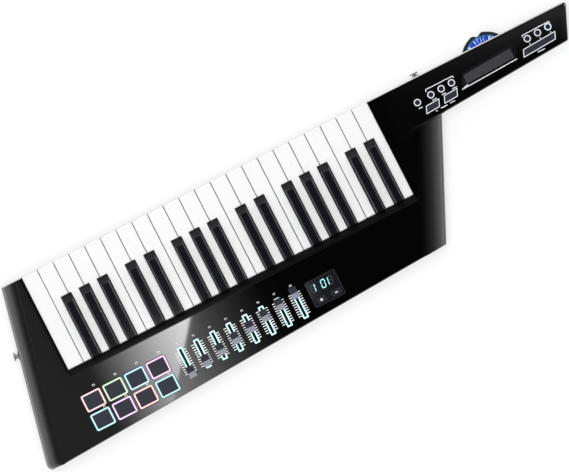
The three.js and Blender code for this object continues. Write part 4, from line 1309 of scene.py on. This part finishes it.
@dataclass
class FaderBank(Assembly):
    """Eight faders: lit slot edges, scales, numbers and sliding caps."""

    first: float = 176.0
    pitch: float = 24.2
    count: int = 8
    slot_low: float = -219.0
    slot_high: float = -177.0
    outer: float = 7.9
    inner: float = 3.5
    tick_low: float = -213.5
    tick_pitch: float = 3.45
    ticks: int = 10
    tick_left: Pair = (-8.9, -4.6)
    tick_right: Pair = (3.8, 8.2)
    tick_width: float = 1.3
    number_size: float = 3.7
    number_y: float = -171.0
    cap_width: float = 10.5
    cap_length: float = 15.0
    cap_foot: float = 0.6
    cap_rise: float = 6.6
    longer_front: float = 1.14

    def build(self) -> list[Piece]:
        """Builds the parts of each fader in turn.

        Returns:
            The pieces.
        """
        for i in range(self.count):
            x = self.first + self.pitch * i
            self._slot(i + 1, x)
            self._scale(i + 1, x)
            label = figure(f"fader_number_{i + 1}", f"F{i + 1}", self.number_size, x, self.number_y)
            self.settle(label, PRINT, "silicone")
            self._cap(i + 1, x)
        return self.made

    def _slot(self, index: int, x: float) -> None:
        """Builds the light guide round the slot.

        Args:
            index: Which fader.
            x: Middle of its slot.
        """
        middle = (self.slot_low + self.slot_high) / 2
        shape = Outline.rectangle(x, middle, self.outer, self.slot_high - self.slot_low, 1.0)
        band = band_profile(0.0, (self.outer - self.inner) / 2, PANEL_TOP - 0.1, PANEL_TOP + 0.22, 0.12)
        self.settle(lit_band(f"fader_light_{index}", shape, band, 0.15), LIT_SLOT, "silicone")

    def _scale(self, index: int, x: float) -> None:
        """Prints the ticks on both sides of the slot.

        Args:
            index: Which fader.
            x: Middle of its slot.
        """
        y = (self.tick_low + self.tick_pitch * np.arange(self.ticks))[None]
        sides = x + np.array([self.tick_left, self.tick_right])
        starts, ends = (
            np.stack(np.broadcast_arrays(sides[:, i : i + 1], y), axis=-1).reshape(-1, 2) for i in range(2)
        )
        scale = prisms(f"fader_scale_{index}", bars(starts, ends, self.tick_width), PANEL_TOP, PANEL_TOP + 0.1)
        self.settle(scale, PRINT, "silicone")

    def _cap(self, index: int, x: float) -> None:
        """Builds a sliding cap with two hollowed slopes, fine grip steps and a flat ridge, and the blade under it;
        its slope towards -Y is painted pale as a highlight.

        Seen from the side, the height at a place v along the cap, from -1 to 1, is 1.8 mm plus 4.2 times
        (1 - |v|) / 0.84, held to 1 and raised to the power 1.5, less a small step 14 times along its length. It is
        carried from one side to the other, with both sides drawn in a little towards the top.

        Args:
            index: Which fader.
            x: Middle of its slot.
        """
        node = f"fader_cap_{index}"
        low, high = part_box(node)
        middle = (low.y + high.y) * 500.0 + PLACE.shift_y
        v = np.linspace(-1, 1, 49)
        climb = np.clip(1 - np.abs(v), 0, 1)
        base, top = PANEL_TOP + self.cap_foot, PANEL_TOP + self.cap_rise
        rise = 1.8 + 4.2 * np.clip(climb / 0.84, 0, 1) ** 1.5
        steps = 0.22 * (np.sin(v * 14 * math.pi) > 0) * (np.abs(v) > 0.2) * (np.abs(v) < 0.93)
        height = np.minimum(base + rise - steps, top)
        u = np.array([-1.0, -1.0, -0.93, 0.93, 1.0, 1.0])
        lift = np.array([0.0, 0.92, 1.0, 1.0, 0.92, 0.0])
        z = base + (height[:, None] - base) * lift[None]
        across = x + np.broadcast_to(u * self.cap_width / 2, z.shape)
        run = np.where(v < 0, v, v * self.longer_front) * self.cap_length / 2
        along = middle + np.broadcast_to(run[:, None], z.shape)
        cap = skin(f"{node}_grip", np.stack([across, along, z], axis=2), sharp=24)
        self.settle(cap, CAP_DARK, "fader_cap", node, node)
        # Painted highlight: the faces on the slope towards -Y take the pale copy of the cap's material, standing for
        # the light that falls on that slope.
        cap.data.materials.append(CAP_PAINTED_LIT.material())
        pale = read(cap.data.polygons, "center")[:, 1] * 1000.0 + PLACE.shift_y < middle
        cap.data.polygons.foreach_set("material_index", pale.astype(np.int32))
        stem = Outline.rectangle(x, middle, 2.0, 4.0, 0.5)
        blade = skin(f"{node}_blade", stem.carried([(0.0, low.z * 1000.0), (0.0, base + 0.5)]))
        self.settle(blade, FRAME_PLASTIC, "fader_cap", node, node)


@dataclass
class Display(Assembly):
    """Smoked lens with lit digits, and the two value buttons."""

    centre: Pair = (384.9, -194.9)
    width: float = 43.8
    depth: float = 35.6
    lens_top: float = 52.2
    digit_low: float = -193.2
    digit_high: float = -182.6
    digit_x: Triple = (370.9, 385.9, 396.2)
    digit_half: float = 2.7
    digit_width: float = 1.25
    digit_gap: float = 0.45
    slant: float = 0.11
    lit: tuple[str, ...] = ("bc", "abcdef", "ef")
    unlit: tuple[str, ...] = ("adefg", "g", "abcdg")
    keys_y: float = -205.8
    keys: tuple[tuple[str, float, float], ...] = (("plus", 374.3, 14.4), ("minus", 396.6, 15.4))
    keys_rise: float = 0.6
    sheet_high: float = 49.2
    sign_width: float = 1.4

    def build(self) -> list[Piece]:
        """Builds the lens, the digits and the buttons.

        Returns:
            The pieces.
        """
        shape = Outline.rectangle(*self.centre, self.width, self.depth, 1.5)
        lens = skin("display_lens", shape.carried(slab_profile(PANEL_TOP - 0.05, self.lens_top, 0.12)))
        self.settle(lens, LENS, "gloss_case")
        band = band_profile(-0.4, 0.3, PANEL_TOP - 0.05, self.lens_top + 0.1, 0.1)
        self.settle(skin("display_rim", shape.carried(band), True), SLATE_DARK, "gloss_case")
        for name, letters, finish in (("lit_digits", self.lit, DIGIT), ("unlit_digits", self.unlit, DIM_DIGIT)):
            parts = np.concatenate([self._segments(x, which) for x, which in zip(self.digit_x, letters)])
            digits = prisms(name, parts, self.lens_top - 0.02, self.lens_top + 0.05)
            self.settle(mark_across(digits, [1.0]), finish, "silicone")
        self._buttons()
        return self.made

    def _segments(self, x: float, which: str) -> Array:
        """Outlines of a digit's segments, slanted: each point moves along by the slant times its height.

        Args:
            x: Middle of the digit.
            which: Letters of the segments, a to g.

        Returns:
            Array of outlines.
        """
        half, gap, top = self.digit_half, self.digit_gap, self.digit_high - self.digit_low
        mid = top / 2
        lines = {letter: ((-half + gap, y), (half - gap, y)) for letter, y in (("a", top), ("g", mid), ("d", 0.0))}
        for letter, side, low in (("b", half, mid), ("c", half, 0.0), ("f", -half, mid), ("e", -half, 0.0)):
            lines[letter] = ((side, low + gap), (side, (top if low else mid) - gap))
        pairs = np.array([lines[letter] for letter in which])
        shapes = bars(pairs[:, 0], pairs[:, 1], self.digit_width)
        shapes[..., 0] += (shapes[..., 1] - mid) * self.slant + x
        shapes[..., 1] += self.digit_low
        return shapes

    def _buttons(self) -> None:
        """Builds the plus and minus keys on one silicone sheet."""
        sheet = Outline.rectangle(386.0, self.keys_y, 40.0, 12.5, 2.0)
        made = skin("value_sheet", sheet.carried(slab_profile(46.7, self.sheet_high, 0.4)))
        self.settle(made, SILICONE, "silicone", instead_of="value_keypad")
        top = PANEL_TOP + self.keys_rise
        for name, x, width in self.keys:
            key = Outline.rectangle(x, self.keys_y, width, 8.8, 1.5)
            made = skin(f"value_{name}_key", key.carried(slab_profile(self.sheet_high, top, 0.35, 0.15, 3.2)))
            self.settle(made, SLATE_DEEP, "silicone", instead_of="value_keypad")
            shapes = bars([[x - 2.0, -206.0]], [[x + 2.0, -206.0]], self.sign_width)
            if name == "plus":
                arms = bars([[x, -208.0], [x, -205.3]], [[x, -206.7], [x, -204.0]], self.sign_width)
                shapes = np.concatenate([shapes, arms])
            self.settle(prisms(f"value_{name}_sign", shapes, top, PANEL_TOP + 0.82), PRINT, "silicone")


@dataclass
class NeckControls(Assembly):
    """Round buttons, slanted keys, touch strip and printed marks of the neck."""

    round_x: tuple[float, ...] = (607.0, 627.7, 643.5, 659.3, 776.0, 791.8, 807.6)
    round_y: float = -30.0
    ring_outer: float = 4.9
    ring_inner: float = 3.45
    ring_rise: Pair = (0.2, 0.95)
    slanted: tuple[tuple[str, float, float], ...] = (
        ("octave_down_button", 623.1, 20.5), ("octave_up_button", 650.8, 20.5), ("sustain_bar", 787.0, 49.4),
    )
    key_depth: float = 10.3
    key_lean: float = 4.4
    key_middle: float = 14.6
    key_top: float = 53.4
    key_base: float = 48.7
    edge_width: float = 1.1
    flange: tuple[Pair, ...] = ((-1.4, 47.6), (-1.4, 49.2), (0.6, 49.2))
    strip_lip: tuple[Pair, ...] = ((668.4, -40.6), (750.6, -37.4), (759.6, -16.6), (677.0, -22.1))
    strip_film: tuple[Pair, ...] = ((677.6, -38.6), (749.8, -34.9), (748.6, -21.4), (677.2, -25.4))
    line_width: float = 1.15
    mark_width: float = 1.2

    def build(self) -> list[Piece]:
        """Builds the buttons, then the strip and the marks.

        Returns:
            The pieces.
        """
        self.keep("neck_keypad", SILICONE)
        for i, x in enumerate(self.round_x, 1):
            self._round(i, x, self.round_y + (x - self.round_x[0]) * NECK_SLOPE)
        for node, x, width in self.slanted:
            self._slanted(node, x, width)
        self._strip()
        self._marks()
        return self.made

    def _round(self, index: int, x: float, y: float) -> None:
        """Builds a lit ring round a small crowned cap.

        Args:
            index: Which button.
            x: Middle across.
            y: Middle up.
        """
        low, high = (PANEL_TOP + rise for rise in self.ring_rise)
        turn = np.linspace(0, math.pi, 9)
        half = (self.ring_outer - self.ring_inner) / 2
        radius = np.concatenate([[self.ring_outer], self.ring_inner + half + half * np.cos(turn), [self.ring_inner]])
        along = np.concatenate([[low], high - 0.3 + 0.3 * np.sin(turn), [low]])
        ring = skin(f"round_light_{index}", turned_rings(radius, along, (x, y, 0.0), UP), hoop=True, sharp=60)
        mark_across(ring, np.concatenate([[0.0], np.clip(np.sin(turn) * 1.6, 0, 1), [0.0]]))
        self.settle(ring, LIT_BLUE if index == len(self.round_x) else LIT_RING, "silicone")
        t = np.linspace(0, 1, 7)
        reach = self.ring_inner - 0.05
        radius = np.concatenate([[reach], reach * (1 - t) + 0.05 * t])
        along = np.concatenate([[low], high - 0.35 + 0.3 * (1 - (1 - t) ** 2)])
        cap = skin(f"round_cap_{index}", turned_rings(radius, along, (x, y, 0.0), UP))
        self.settle(cap, SLATE_DEEP, "silicone")

    def _slanted(self, node: str, x: float, width: float) -> None:
        """Builds a slanted key: a crowned face inside a pale light guide, on a flange under the panel.

        Args:
            node: The CAD node that it stands for.
            x: Middle across.
            width: Size across.
        """
        outline = Outline.leaning(x, width, self.key_depth, self.key_lean, self.key_middle, 0.6)
        band = band_profile(0.0, self.edge_width, self.key_base, self.key_top, 0.35)
        self.settle(lit_band(f"{node}_light", outline, band, 0.0), LIT_EDGE, "silicone", node, node)
        profile = slab_profile(self.key_base, self.key_top - 0.15, 0.3, 0.2, 3.4)
        profile += np.array([self.edge_width + 0.02, 0.0])
        self.settle(skin(f"{node}_face", outline.carried(profile)), SLATE_DARK, "slate", node, node)
        self.settle(skin(f"{node}_flange", outline.carried(self.flange)), SILICONE, "slate", node, node)

    def _strip(self) -> None:
        """Builds the grey film of the touch strip and the lip round its dark bed."""
        self.keep("ribbon_strip", STRIP_BED)
        low, high = PANEL_TOP - 0.05, PANEL_TOP + 0.06
        profile = [(0.0, low), (0.0, PANEL_TOP + 0.04), (0.15, high), (2.3, high), (2.6, low)]
        lip = Outline(self.strip_lip, 1.0).carried(profile)
        self.settle(skin("touch_strip_lip", lip, hoop=True), STRIP_LIP, "touch_strip")
        film = Outline(self.strip_film, 0.6).carried(slab_profile(51.6, 51.95, 0.12))
        self.settle(skin("touch_strip_film", film), STRIP, "touch_strip")

    def _marks(self) -> None:
        """Prints brackets, an arrow and short marks on the lacquer. A short mark is two places X and its Y."""
        low, high = PANEL_TOP - 0.02, PANEL_TOP + 0.1
        lines = {
            "bracket_near": ((623.6, -22.6), (624.6, -19.6), (664.2, -19.6), (665.2, -22.2)),
            "bracket_far": ((771.4, -15.8), (771.6, -13.6), (811.8, -12.7), (812.2, -15.2)),
            "arrow_barb": ((669.2, -41.2), (678.4, -38.9)),
            "arrow_line": ((668.0, -41.6), (751.6, -38.2)),
        }
        for name, points in lines.items():
            self.settle(prisms(name, stroke(points, self.line_width), low, high), PRINT, "silicone")
        rows = np.array([
            [605.0, 610.6, -38.2], [626.0, 632.8, -36.4], [641.0, 646.8, -35.6], [656.6, 663.8, -34.8],
            [623.8, 626.6, -51.3], [631.8, 641.4, -50.9], [645.6, 652.8, -50.3], [775.2, 777.0, -28.2],
            [791.0, 792.8, -27.4], [806.8, 808.6, -26.6], [780.4, 791.0, -42.8],
        ])
        shapes = bars(rows[:, [0, 2]], rows[:, [1, 2]], self.mark_width)
        self.settle(prisms("button_marks", shapes, low, high), PRINT, "silicone")


@dataclass
class PitchWheel(Assembly):
    """Pitch wheel: smoke rim with two thumb swells, and a faceted core lit from inside."""

    centre: Pair = (718.5, -18.5)
    radius: float = 34.7
    spread: float = math.radians(192.0)
    low: float = 30.0
    high: float = 38.0
    rim: float = 5.6
    rim_round: float = 1.4
    facets: int = 46
    facet_depth: float = 0.55

    def _edge(self, angle: Array) -> Array:
        """Radius at an angle from the middle: a dip of 3.6 mm between two swells of 0.5 mm, 8 mm to each side."""
        along = np.abs(angle) * self.radius
        return self.radius - 3.6 * np.exp(-((along / 4.4) ** 2)) + 0.5 * np.exp(-(((along - 8.0) / 3.0) ** 2))

    def _sector(self, name: str, angle: Array, radius: Array, height: Array) -> Piece:
        """Carries a section round the sector and closes both ends.

        Args:
            name: Name of the piece.
            angle: Angles of the sector.
            radius: Radius of the section's points, for each angle.
            height: Their height.

        Returns:
            The new object.
        """
        u = math.pi / 2 - angle[:, None]
        x, y = self.centre[0] + radius * np.cos(u), self.centre[1] + radius * np.sin(u)
        return skin(name, np.stack([x, y, np.broadcast_to(height, x.shape)], axis=2), sharp=20)

    def build(self) -> list[Piece]:
        """Builds the rim, the core and the hub.

        The core's facets sink and rise by a triangle wave over the sector. Its attribute 'polar' holds 16 times
        the angle and 0.13 times the radius.

        Returns:
            The pieces.
        """
        angle = np.linspace(-self.spread / 2, self.spread / 2, 121)
        edge = self._edge(angle)[:, None]
        turn = np.linspace(-math.pi / 2, math.pi / 2, 7)
        middle, half = (self.low + self.high) / 2, (self.high - self.low) / 2
        core_edge = self.radius - self.rim
        flat = core_edge + (edge - self.rim_round - core_edge) * np.array([[0.0, 0.35, 0.7]])
        around = edge - self.rim_round + self.rim_round * np.cos(turn)[None]
        out = np.concatenate([flat, around, flat[:, ::-1]], axis=1)
        up = np.concatenate([np.full(3, self.low), middle + half * np.sin(turn), np.full(3, self.high)])
        rim = mark_across(self._sector("wheel_rim", angle, out, up[None]), np.clip(1 - (out - core_edge) / 3.2, 0, 1))
        self.settle(rim, SMOKE, "wheel", "pitch_wheel", "pitch_wheel")
        ribs = self.facet_depth * np.abs(((angle * self.facets / math.pi) % 2) - 1)[:, None]
        share = np.array([0.0, 0.3, 0.55, 0.8, 1.0])
        inner, outer = 9.4, np.full_like(edge, core_edge - 0.05)
        reach = inner + (outer - inner) * share[None]
        depth = ribs * np.array([0.2, 0.6, 1.0, 0.35, 1.0])[None]
        over, under = self.high - 0.4 - depth, self.low + 0.4 + depth
        radius = np.concatenate([reach, reach[:, ::-1]], axis=1)
        core = self._sector("wheel_core", angle, radius, np.concatenate([over, under[:, ::-1]], axis=1))
        turned = np.broadcast_to(angle[:, None] * 16.0, radius.shape)
        polar = np.stack([turned, radius * 0.13, np.zeros_like(radius)], axis=2)
        core.data.attributes.new("polar", "FLOAT_VECTOR", "POINT").data.foreach_set("vector", polar.ravel())
        mark_across(core, np.clip((radius - 25.0) / 4.0, 0, 1))
        self.settle(core, CORE, "wheel", "pitch_wheel", "pitch_wheel")
        radius, along = [9.3, 9.3, 8.9, 4.6, 4.3, 4.3], [30.0, 37.6, 38.0, 38.0, 37.7, 30.0]
        hub = skin("wheel_hub", turned_rings(radius, along, (*self.centre, 0.0), UP, 48), hoop=True)
        self.settle(hub, FRAME_PLASTIC, "wheel", "pitch_wheel", "pitch_wheel")
        return self.made


@dataclass
class StrapButtons(Assembly):
    """Two turned chrome strap buttons with a waist: each a CAD node, where it starts, its axis and its length."""

    buttons: tuple[tuple[str, Triple, Triple, float], ...] = (
        ("strap_button_end", (-20.54, -90.0, 18.0), (-0.97598, 0.21789, 0.0), 8.0),
        ("strap_button_neck", (621.0, 2.0, 18.0), (0.0, 1.0, 0.0), 6.5),
    )
    head_radius: float = 5.5
    head_round: float = 0.65
    head_rings: int = 12
    steps: int = 56

    def build(self) -> list[Piece]:
        """Builds one button on each edge.

        Returns:
            The pieces.
        """
        for button in self.buttons:
            self._button(*button)
        return self.made

    def _button(self, node: str, centre: Triple, axis: Triple, length: float) -> None:
        """Builds a turned button: flange, waist, and a domed head with a cross recess.

        At a share t along the waist its radius is 3.2 + 2.6 × |2t - 1| to the power 2.2.

        Args:
            node: The CAD node that it stands for.
            centre: Where it starts.
            axis: Direction out of the case.
            length: How far it stands out.
        """
        t = np.linspace(0, 1, 11)
        waist = 3.2 + 2.6 * (np.abs(2 * t - 1) ** 2.2)
        turn = np.linspace(0, QUARTER, 5)
        bulge = self.head_radius + self.head_round * np.sin(turn)
        share = np.linspace(1.0, 0.02, self.head_rings)
        radius = np.concatenate([[1.9, 1.9, 5.4], bulge, waist, bulge, self.head_radius * share])
        along = np.concatenate([
            [-7.0, 0.3, 0.3], 0.3 + 0.6 * (1 - np.cos(turn)), 1.1 + (length - 3.6) * t,
            length - 2.1 + 0.9 * (1 - np.cos(turn)), length - 0.55 + 0.55 * (1 - share**2),
        ])
        cross = cross_recess(radius, self.steps, 0.55, 2.1)
        cross[: -self.head_rings] = False
        rings = turned_rings(radius, along[:, None] - 0.8 * cross, centre, axis, self.steps)
        self.settle(skin(f"{node}_turned", rings, sharp=35), CHROME, "chrome", instead_of=node)


@dataclass
class Sockets(Assembly):
    """Contacts and collars of the four sockets in the lower edge."""

    power_x: float = 186.0
    data_x: float = 209.5
    five_x: float = 234.5
    jack_x: float = 262.0
    middle_z: float = 36.5
    five_z: float = 39.0
    pin_foot: float = 3.7

    def build(self) -> list[Piece]:
        """Dresses the board and adds what shows inside each socket.

        Returns:
            The pieces.
        """
        self.keep("main_board", BOARD)
        self._pins("power_contact", self.power_x, self.middle_z, np.array([[0.0, 0.0]]), 1.0)
        around = np.radians(np.array([0.0, 45.0, 90.0, 135.0, 180.0]))
        ring = np.stack([4.6 * np.cos(around), 4.6 * np.sin(around) - 0.8], axis=1)
        self._pins("five_contact", self.five_x, self.five_z, ring, 0.75)
        radius, along = [3.35, 3.35, 3.6, 4.9, 5.1, 5.1], [2.0, 0.3, 0.05, 0.05, 0.3, 2.0]
        collar = turned_rings(radius, along, (*self._edge(self.jack_x), self.middle_z), LOWER_IN)
        self.settle(skin("jack_collar", collar, hoop=True), CHROME, "chrome")
        self._tongue(self.data_x, self.middle_z)
        return self.made

    @staticmethod
    def _edge(x: float) -> Pair:
        """Gives the place on the lower edge at a given X."""
        return x, LOWER_Y + (x - LOWER_X) * math.tan(LOWER_TURN)

    def _pins(self, name: str, x: float, z: float, places: Array, radius: float) -> None:
        """Builds round-ended contacts that stand out of a socket's floor.

        Args:
            name: Name of the pieces.
            x: Middle of the socket.
            z: Height of its middle.
            places: Each contact's offset along the edge and up.
            radius: Radius of a contact.
        """
        edge_x, edge_y = self._edge(x)
        bend = np.linspace(0, QUARTER, 5)
        size = np.concatenate([[radius], radius * np.cos(bend) + 0.02])
        along = np.concatenate([[self.pin_foot], 1.9 - radius * np.sin(bend)])
        for i, (aside, up) in enumerate(places, 1):
            centre = (edge_x + aside * math.cos(LOWER_TURN), edge_y + aside * math.sin(LOWER_TURN), z + up)
            self.settle(skin(f"{name}_{i}", turned_rings(size, along, centre, LOWER_IN, 16)), BRASS, "board")

    def _tongue(self, x: float, z: float) -> None:
        """Builds the square socket's contact tongue, a rounded bar that stands out of its floor.

        Args:
            x: Middle of the socket.
            z: Height of its middle.
        """
        shape = Outline.rectangle(0.0, 0.0, 5.2, 3.4, 0.6).rings([0.0, 0.0, 0.3])
        depth = np.array([self.pin_foot, 1.5, 1.2])[:, None, None]
        along = np.array([math.cos(LOWER_TURN), math.sin(LOWER_TURN), 0.0])
        rings = np.array([*self._edge(x), z]) + shape[..., :1] * along + shape[..., 1:] * np.array(UP)
        self.settle(skin("data_contact_tongue", rings + depth * np.array(LOWER_IN)), PRINT, "board")


# Studio


@dataclass
class Studio:
    """Floor, world, lamps, the reflected light above the panel, and the camera.

    A stop of the sky is the ray's height and its strength. The edge light's limits are the ray's height too. A
    patch of the card is its least X and Y and its greatest X and Y.
    """

    turn: float = math.radians(26.96)
    view_middle: Pair = (-0.0261, 0.0072)
    view_height: float = 8.0
    view_width: float = 0.758
    sensor: float = 36.0
    floor_reach: float = 8.0
    floor_low: float = -0.0004
    floor_even: float = 0.86
    floor_seen: float = 0.42
    floor_lift: float = 0.64
    even_light: float = 0.5
    card_height: float = 0.6
    patches: tuple[tuple[float, float, float, float], ...] = (
        (-76.0, -265.0, 330.0, 30.0), (570.0, -75.0, 866.0, 30.0),
    )
    mirrored_share: float = 0.077
    sky_stops: tuple[Pair, ...] = (
        (0.0, 1.2), (0.15, 1.15), (0.456, 0.8), (0.69, 0.36), (0.866, 0.15), (0.966, 0.02), (1.0, 0.0),
    )
    left_level: float = 31.0
    edge_limits: Pair = (0.19, 0.235)
    edge_light: float = 260.0
    lamps: tuple[tuple[str, Triple, Pair, float], ...] = (
        ("top_softbox", (-0.2, 0.1, 2.6), (1.5, 0.9), 36.0), ("front_softbox", (0.3, 2.6, 0.7), (2.6, 0.9), 12.0),
    )

    def build(self) -> None:
        """Builds everything that isn't part of the keytar."""
        bpy.context.scene.view_settings.view_transform = "Standard"
        self._camera()
        self._floor()
        self._world()
        self._card()
        for lamp in self.lamps:
            self._lamp(*lamp)

    def _camera(self) -> None:
        """Looks straight down from above the photograph's middle, turned so that the keytar lies as it does there.

        The lens is the sensor's width times the height over the panel, divided by the width seen there.
        """
        data = bpy.data.cameras.new("camera")
        data.sensor_width = self.sensor
        data.lens = self.sensor * self.view_height / self.view_width
        data.clip_start, data.clip_end = 0.05, 60.0
        camera = bpy.data.objects.new("camera", data)
        camera.location = (*self.view_middle, PANEL_TOP / 1000.0 + self.view_height)
        camera.rotation_euler = (0.0, 0.0, -self.turn)
        bpy.context.scene.collection.objects.link(camera)
        bpy.context.scene.camera = camera

    @staticmethod
    def _sheet(
        name: str, points: Array, height: float, faces: list[list[int]], material: bpy.types.Material
    ) -> Piece:
        """Makes a flat thing of the stage.

        Args:
            name: Its name.
            points: X and Y of its points, in metres.
            height: Their height.
            faces: Point numbers of each face.
            material: Its material.

        Returns:
            The new object.
        """
        mesh = bpy.data.meshes.new(name)
        mesh.from_pydata([(x, y, height) for x, y in points], [], faces)
        mesh.materials.append(material)
        sheet = bpy.data.objects.new(name, mesh)
        bpy.context.scene.collection.objects.link(sheet)
        return sheet

    def _floor(self) -> None:
        """Lays a plain white floor that keeps soft shadows, and is evenly lit where it is seen or mirrored."""
        made = bpy.data.materials.new("floor_white")
        shader = Shader(made)
        camera, glossy, through = shader.rays("Camera", "Glossy", "Transmission")
        seen = camera.largest(glossy).largest(through)
        even, shown = ((level, level, level, 1.0) for level in (self.floor_even, self.floor_seen))
        shader.dress({"Roughness": 0.9, "Specular IOR Level": 0.0, "Base Color": shader.blend(seen, even, shown)})
        shader.dress({"Emission Color": WHITE, "Emission Strength": seen * self.floor_lift})
        corners = np.array([[-1, -1], [1, -1], [1, 1], [-1, 1]]) * self.floor_reach
        self._sheet("floor", corners, self.floor_low, [[0, 1, 2, 3]], made)

    def _world(self) -> None:
        """White to look at, even light on surfaces, and for gloss a sky that is dark above and white low down.

        The sky's strength follows its height by the stops. Towards +X it is a quarter less, towards -X it never
        falls under what gives the panel its left level, and towards -Y it fades out. A small, strong edge light low
        down towards +X draws the thin bright lines along the keys' rounded edges.
        """
        world = bpy.data.worlds.new("studio")
        bpy.context.scene.world = world
        world.use_nodes = True
        world.node_tree.nodes.clear()
        graph = Graph(world.node_tree)
        x, y, z = graph.axes(graph.out("TexCoord", output="Generated"))
        most = self.sky_stops[0][1]
        grey = [(height, (value / most,) * 3 + (1.0,)) for height, value in self.sky_stops]
        sky = graph.ramp(z, grey) * (most - (x * 4.0).held() * (most * 0.25))
        sky = sky.largest((x * -6.0 + -0.2).held() * (light((self.left_level,) * 3)[0] / self.mirrored_share))
        sky = sky * (1.0 - ((y + 0.5) * -2.4).held())
        plan = (1.0 - z * z) ** 0.5
        facing = ((x / plan - 0.992) * 400.0).held()
        low, high = self.edge_limits
        level = ((high - z) * 200.0).held() * ((z - low) * 200.0).held()
        sky = sky + facing * level * self.edge_light
        strengths = (1.0, self.even_light, sky)
        white, last, mirrored = (graph.out("Background", {"Color": WHITE, "Strength": each}) for each in strengths)
        for shade, ray in zip((mirrored, white, white), graph.rays("Glossy", "Transmission", "Camera")):
            last = graph.out("MixShader", {0: ray, 1: last, 2: shade})
        graph.node("OutputWorld", {"Surface": last})

    def _lamp(self, name: str, place: Triple, size: Pair, power: float) -> None:
        """Adds a soft rectangular lamp that faces the keytar and isn't mirrored in it.

        Args:
            name: Its name.
            place: Where it is, in metres.
            size: Its two sides, in metres.
            power: Its power in watts.
        """
        data = bpy.data.lights.new(name, "AREA")
        data.shape, data.size, data.size_y, data.energy = "RECTANGLE", size[0], size[1], power
        lamp = bpy.data.objects.new(name, data)
        lamp.location = place
        lamp.rotation_mode = "QUATERNION"
        lamp.rotation_quaternion = (Vector((0.0, 0.0, 0.03)) - Vector(place)).to_track_quat("-Z", "Y")
        lamp.visible_glossy = lamp.visible_camera = False
        bpy.context.scene.collection.objects.link(lamp)

    def _card(self) -> None:
        """Adds the window light that the lacquer mirrors: a card over the panel, seen by gloss alone.

        A place on the panel mirrors the card's place at (1 + card height / view height) times its distance from
        the point under the camera.
        """
        foot = np.array(self.view_middle) * 1000 + np.array([PLACE.shift_x, PLACE.shift_y])
        spread = 1.0 + self.card_height / self.view_height
        corners = [corner for a, b, c, d in self.patches for corner in ((a, b), (c, b), (c, d), (a, d))]
        made = bpy.data.materials.new("window_light")
        made.use_nodes = True
        made.node_tree.nodes.clear()
        graph = Graph(made.node_tree)
        scales = {"Scale": (1000.0 / spread, 1000.0 / spread, 1.0), "Location": (*foot, 0.0)}
        panel = graph.out("Mapping", {"Vector": graph.out("TexCoord", output="Object"), **scales})
        glow = graph.out("Emission", {"Strength": self._window(graph, panel)})
        graph.node("OutputMaterial", {"Surface": graph.out("AddShader", {0: glow, 1: graph.out("BsdfTransparent")})})
        points = (np.array(corners) - foot) / 1000.0 * spread
        card = self._sheet("mirrored_light", points, 0.0, [[0, 3, 2, 1], [4, 7, 6, 5]], made)
        card.location = (*self.view_middle, PANEL_TOP / 1000.0 + self.card_height)
        card.visible_camera = card.visible_diffuse = card.visible_shadow = False
        card.visible_transmission = card.visible_volume_scatter = False

    def _window(self, graph: Graph, panel: Value) -> Value:
        """Works out the card's strength at a place on the panel.

        Left of the window's slanted edge the level on screen climbs from the left level by 186 × (1 - (1 - q)
        raised to 1.35), where q runs from 0 to 1 over 148 mm from X 54. Right of it the level falls from 72 by
        0.72 a millimetre. The keys mirror none of it. The neck mirrors a faint glow that grows towards its tip
        and its front edge. The strength is the level's linear light divided by the share that lacquer mirrors.

        Args:
            graph: The card's nodes.
            panel: The place in millimetres.

        Returns:
            The strength.
        """
        x, y, _ = graph.axes(panel)
        right = (((x - 208.0) * 0.7835 - (y + 148.0) * 0.6217) / 3.0 + 0.5).held()
        left = 1.0 - ((x - 54.0) / 148.0).held()
        bright = self.left_level + 186.0 - left**1.35 * 186.0
        dim = (72.0 - (x - 212.0) * 0.72).largest(0.0)
        level = bright * (1.0 - right) + dim * right
        behind_keys = (0.5 - (y + 139.0) / 6.0).held()
        beside_keys = (27.8 - x).held()
        body = level * behind_keys.largest(beside_keys)
        along = ((x - 560.0) / 255.0).held() * ((y + 40.0) / 34.0).held()
        tip = ((x - 812.0) / 20.0).held() * ((y + 72.0) / 6.0).held()
        neck = along.largest(tip) * 36.0
        return ((body.largest(neck) / 255.0 + 0.055) / 1.055) ** 2.4 / self.mirrored_share


def main() -> None:
    """Builds every group of pieces in order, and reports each."""
    logging.basicConfig(level=logging.INFO, format="%(name)s: %(message)s")
    Studio().build()
    groups: tuple[type[Assembly], ...] = (
        Case, Keyboard, PadBank, FaderBank, Display, NeckControls, PitchWheel, StrapButtons, Sockets,
    )
    for group in groups:
        for piece in group().build():
            LOG.info("%s: %s, %d faces", group.__name__, piece.name, len(piece.data.polygons))


if __name__ == "__main__":
    main()
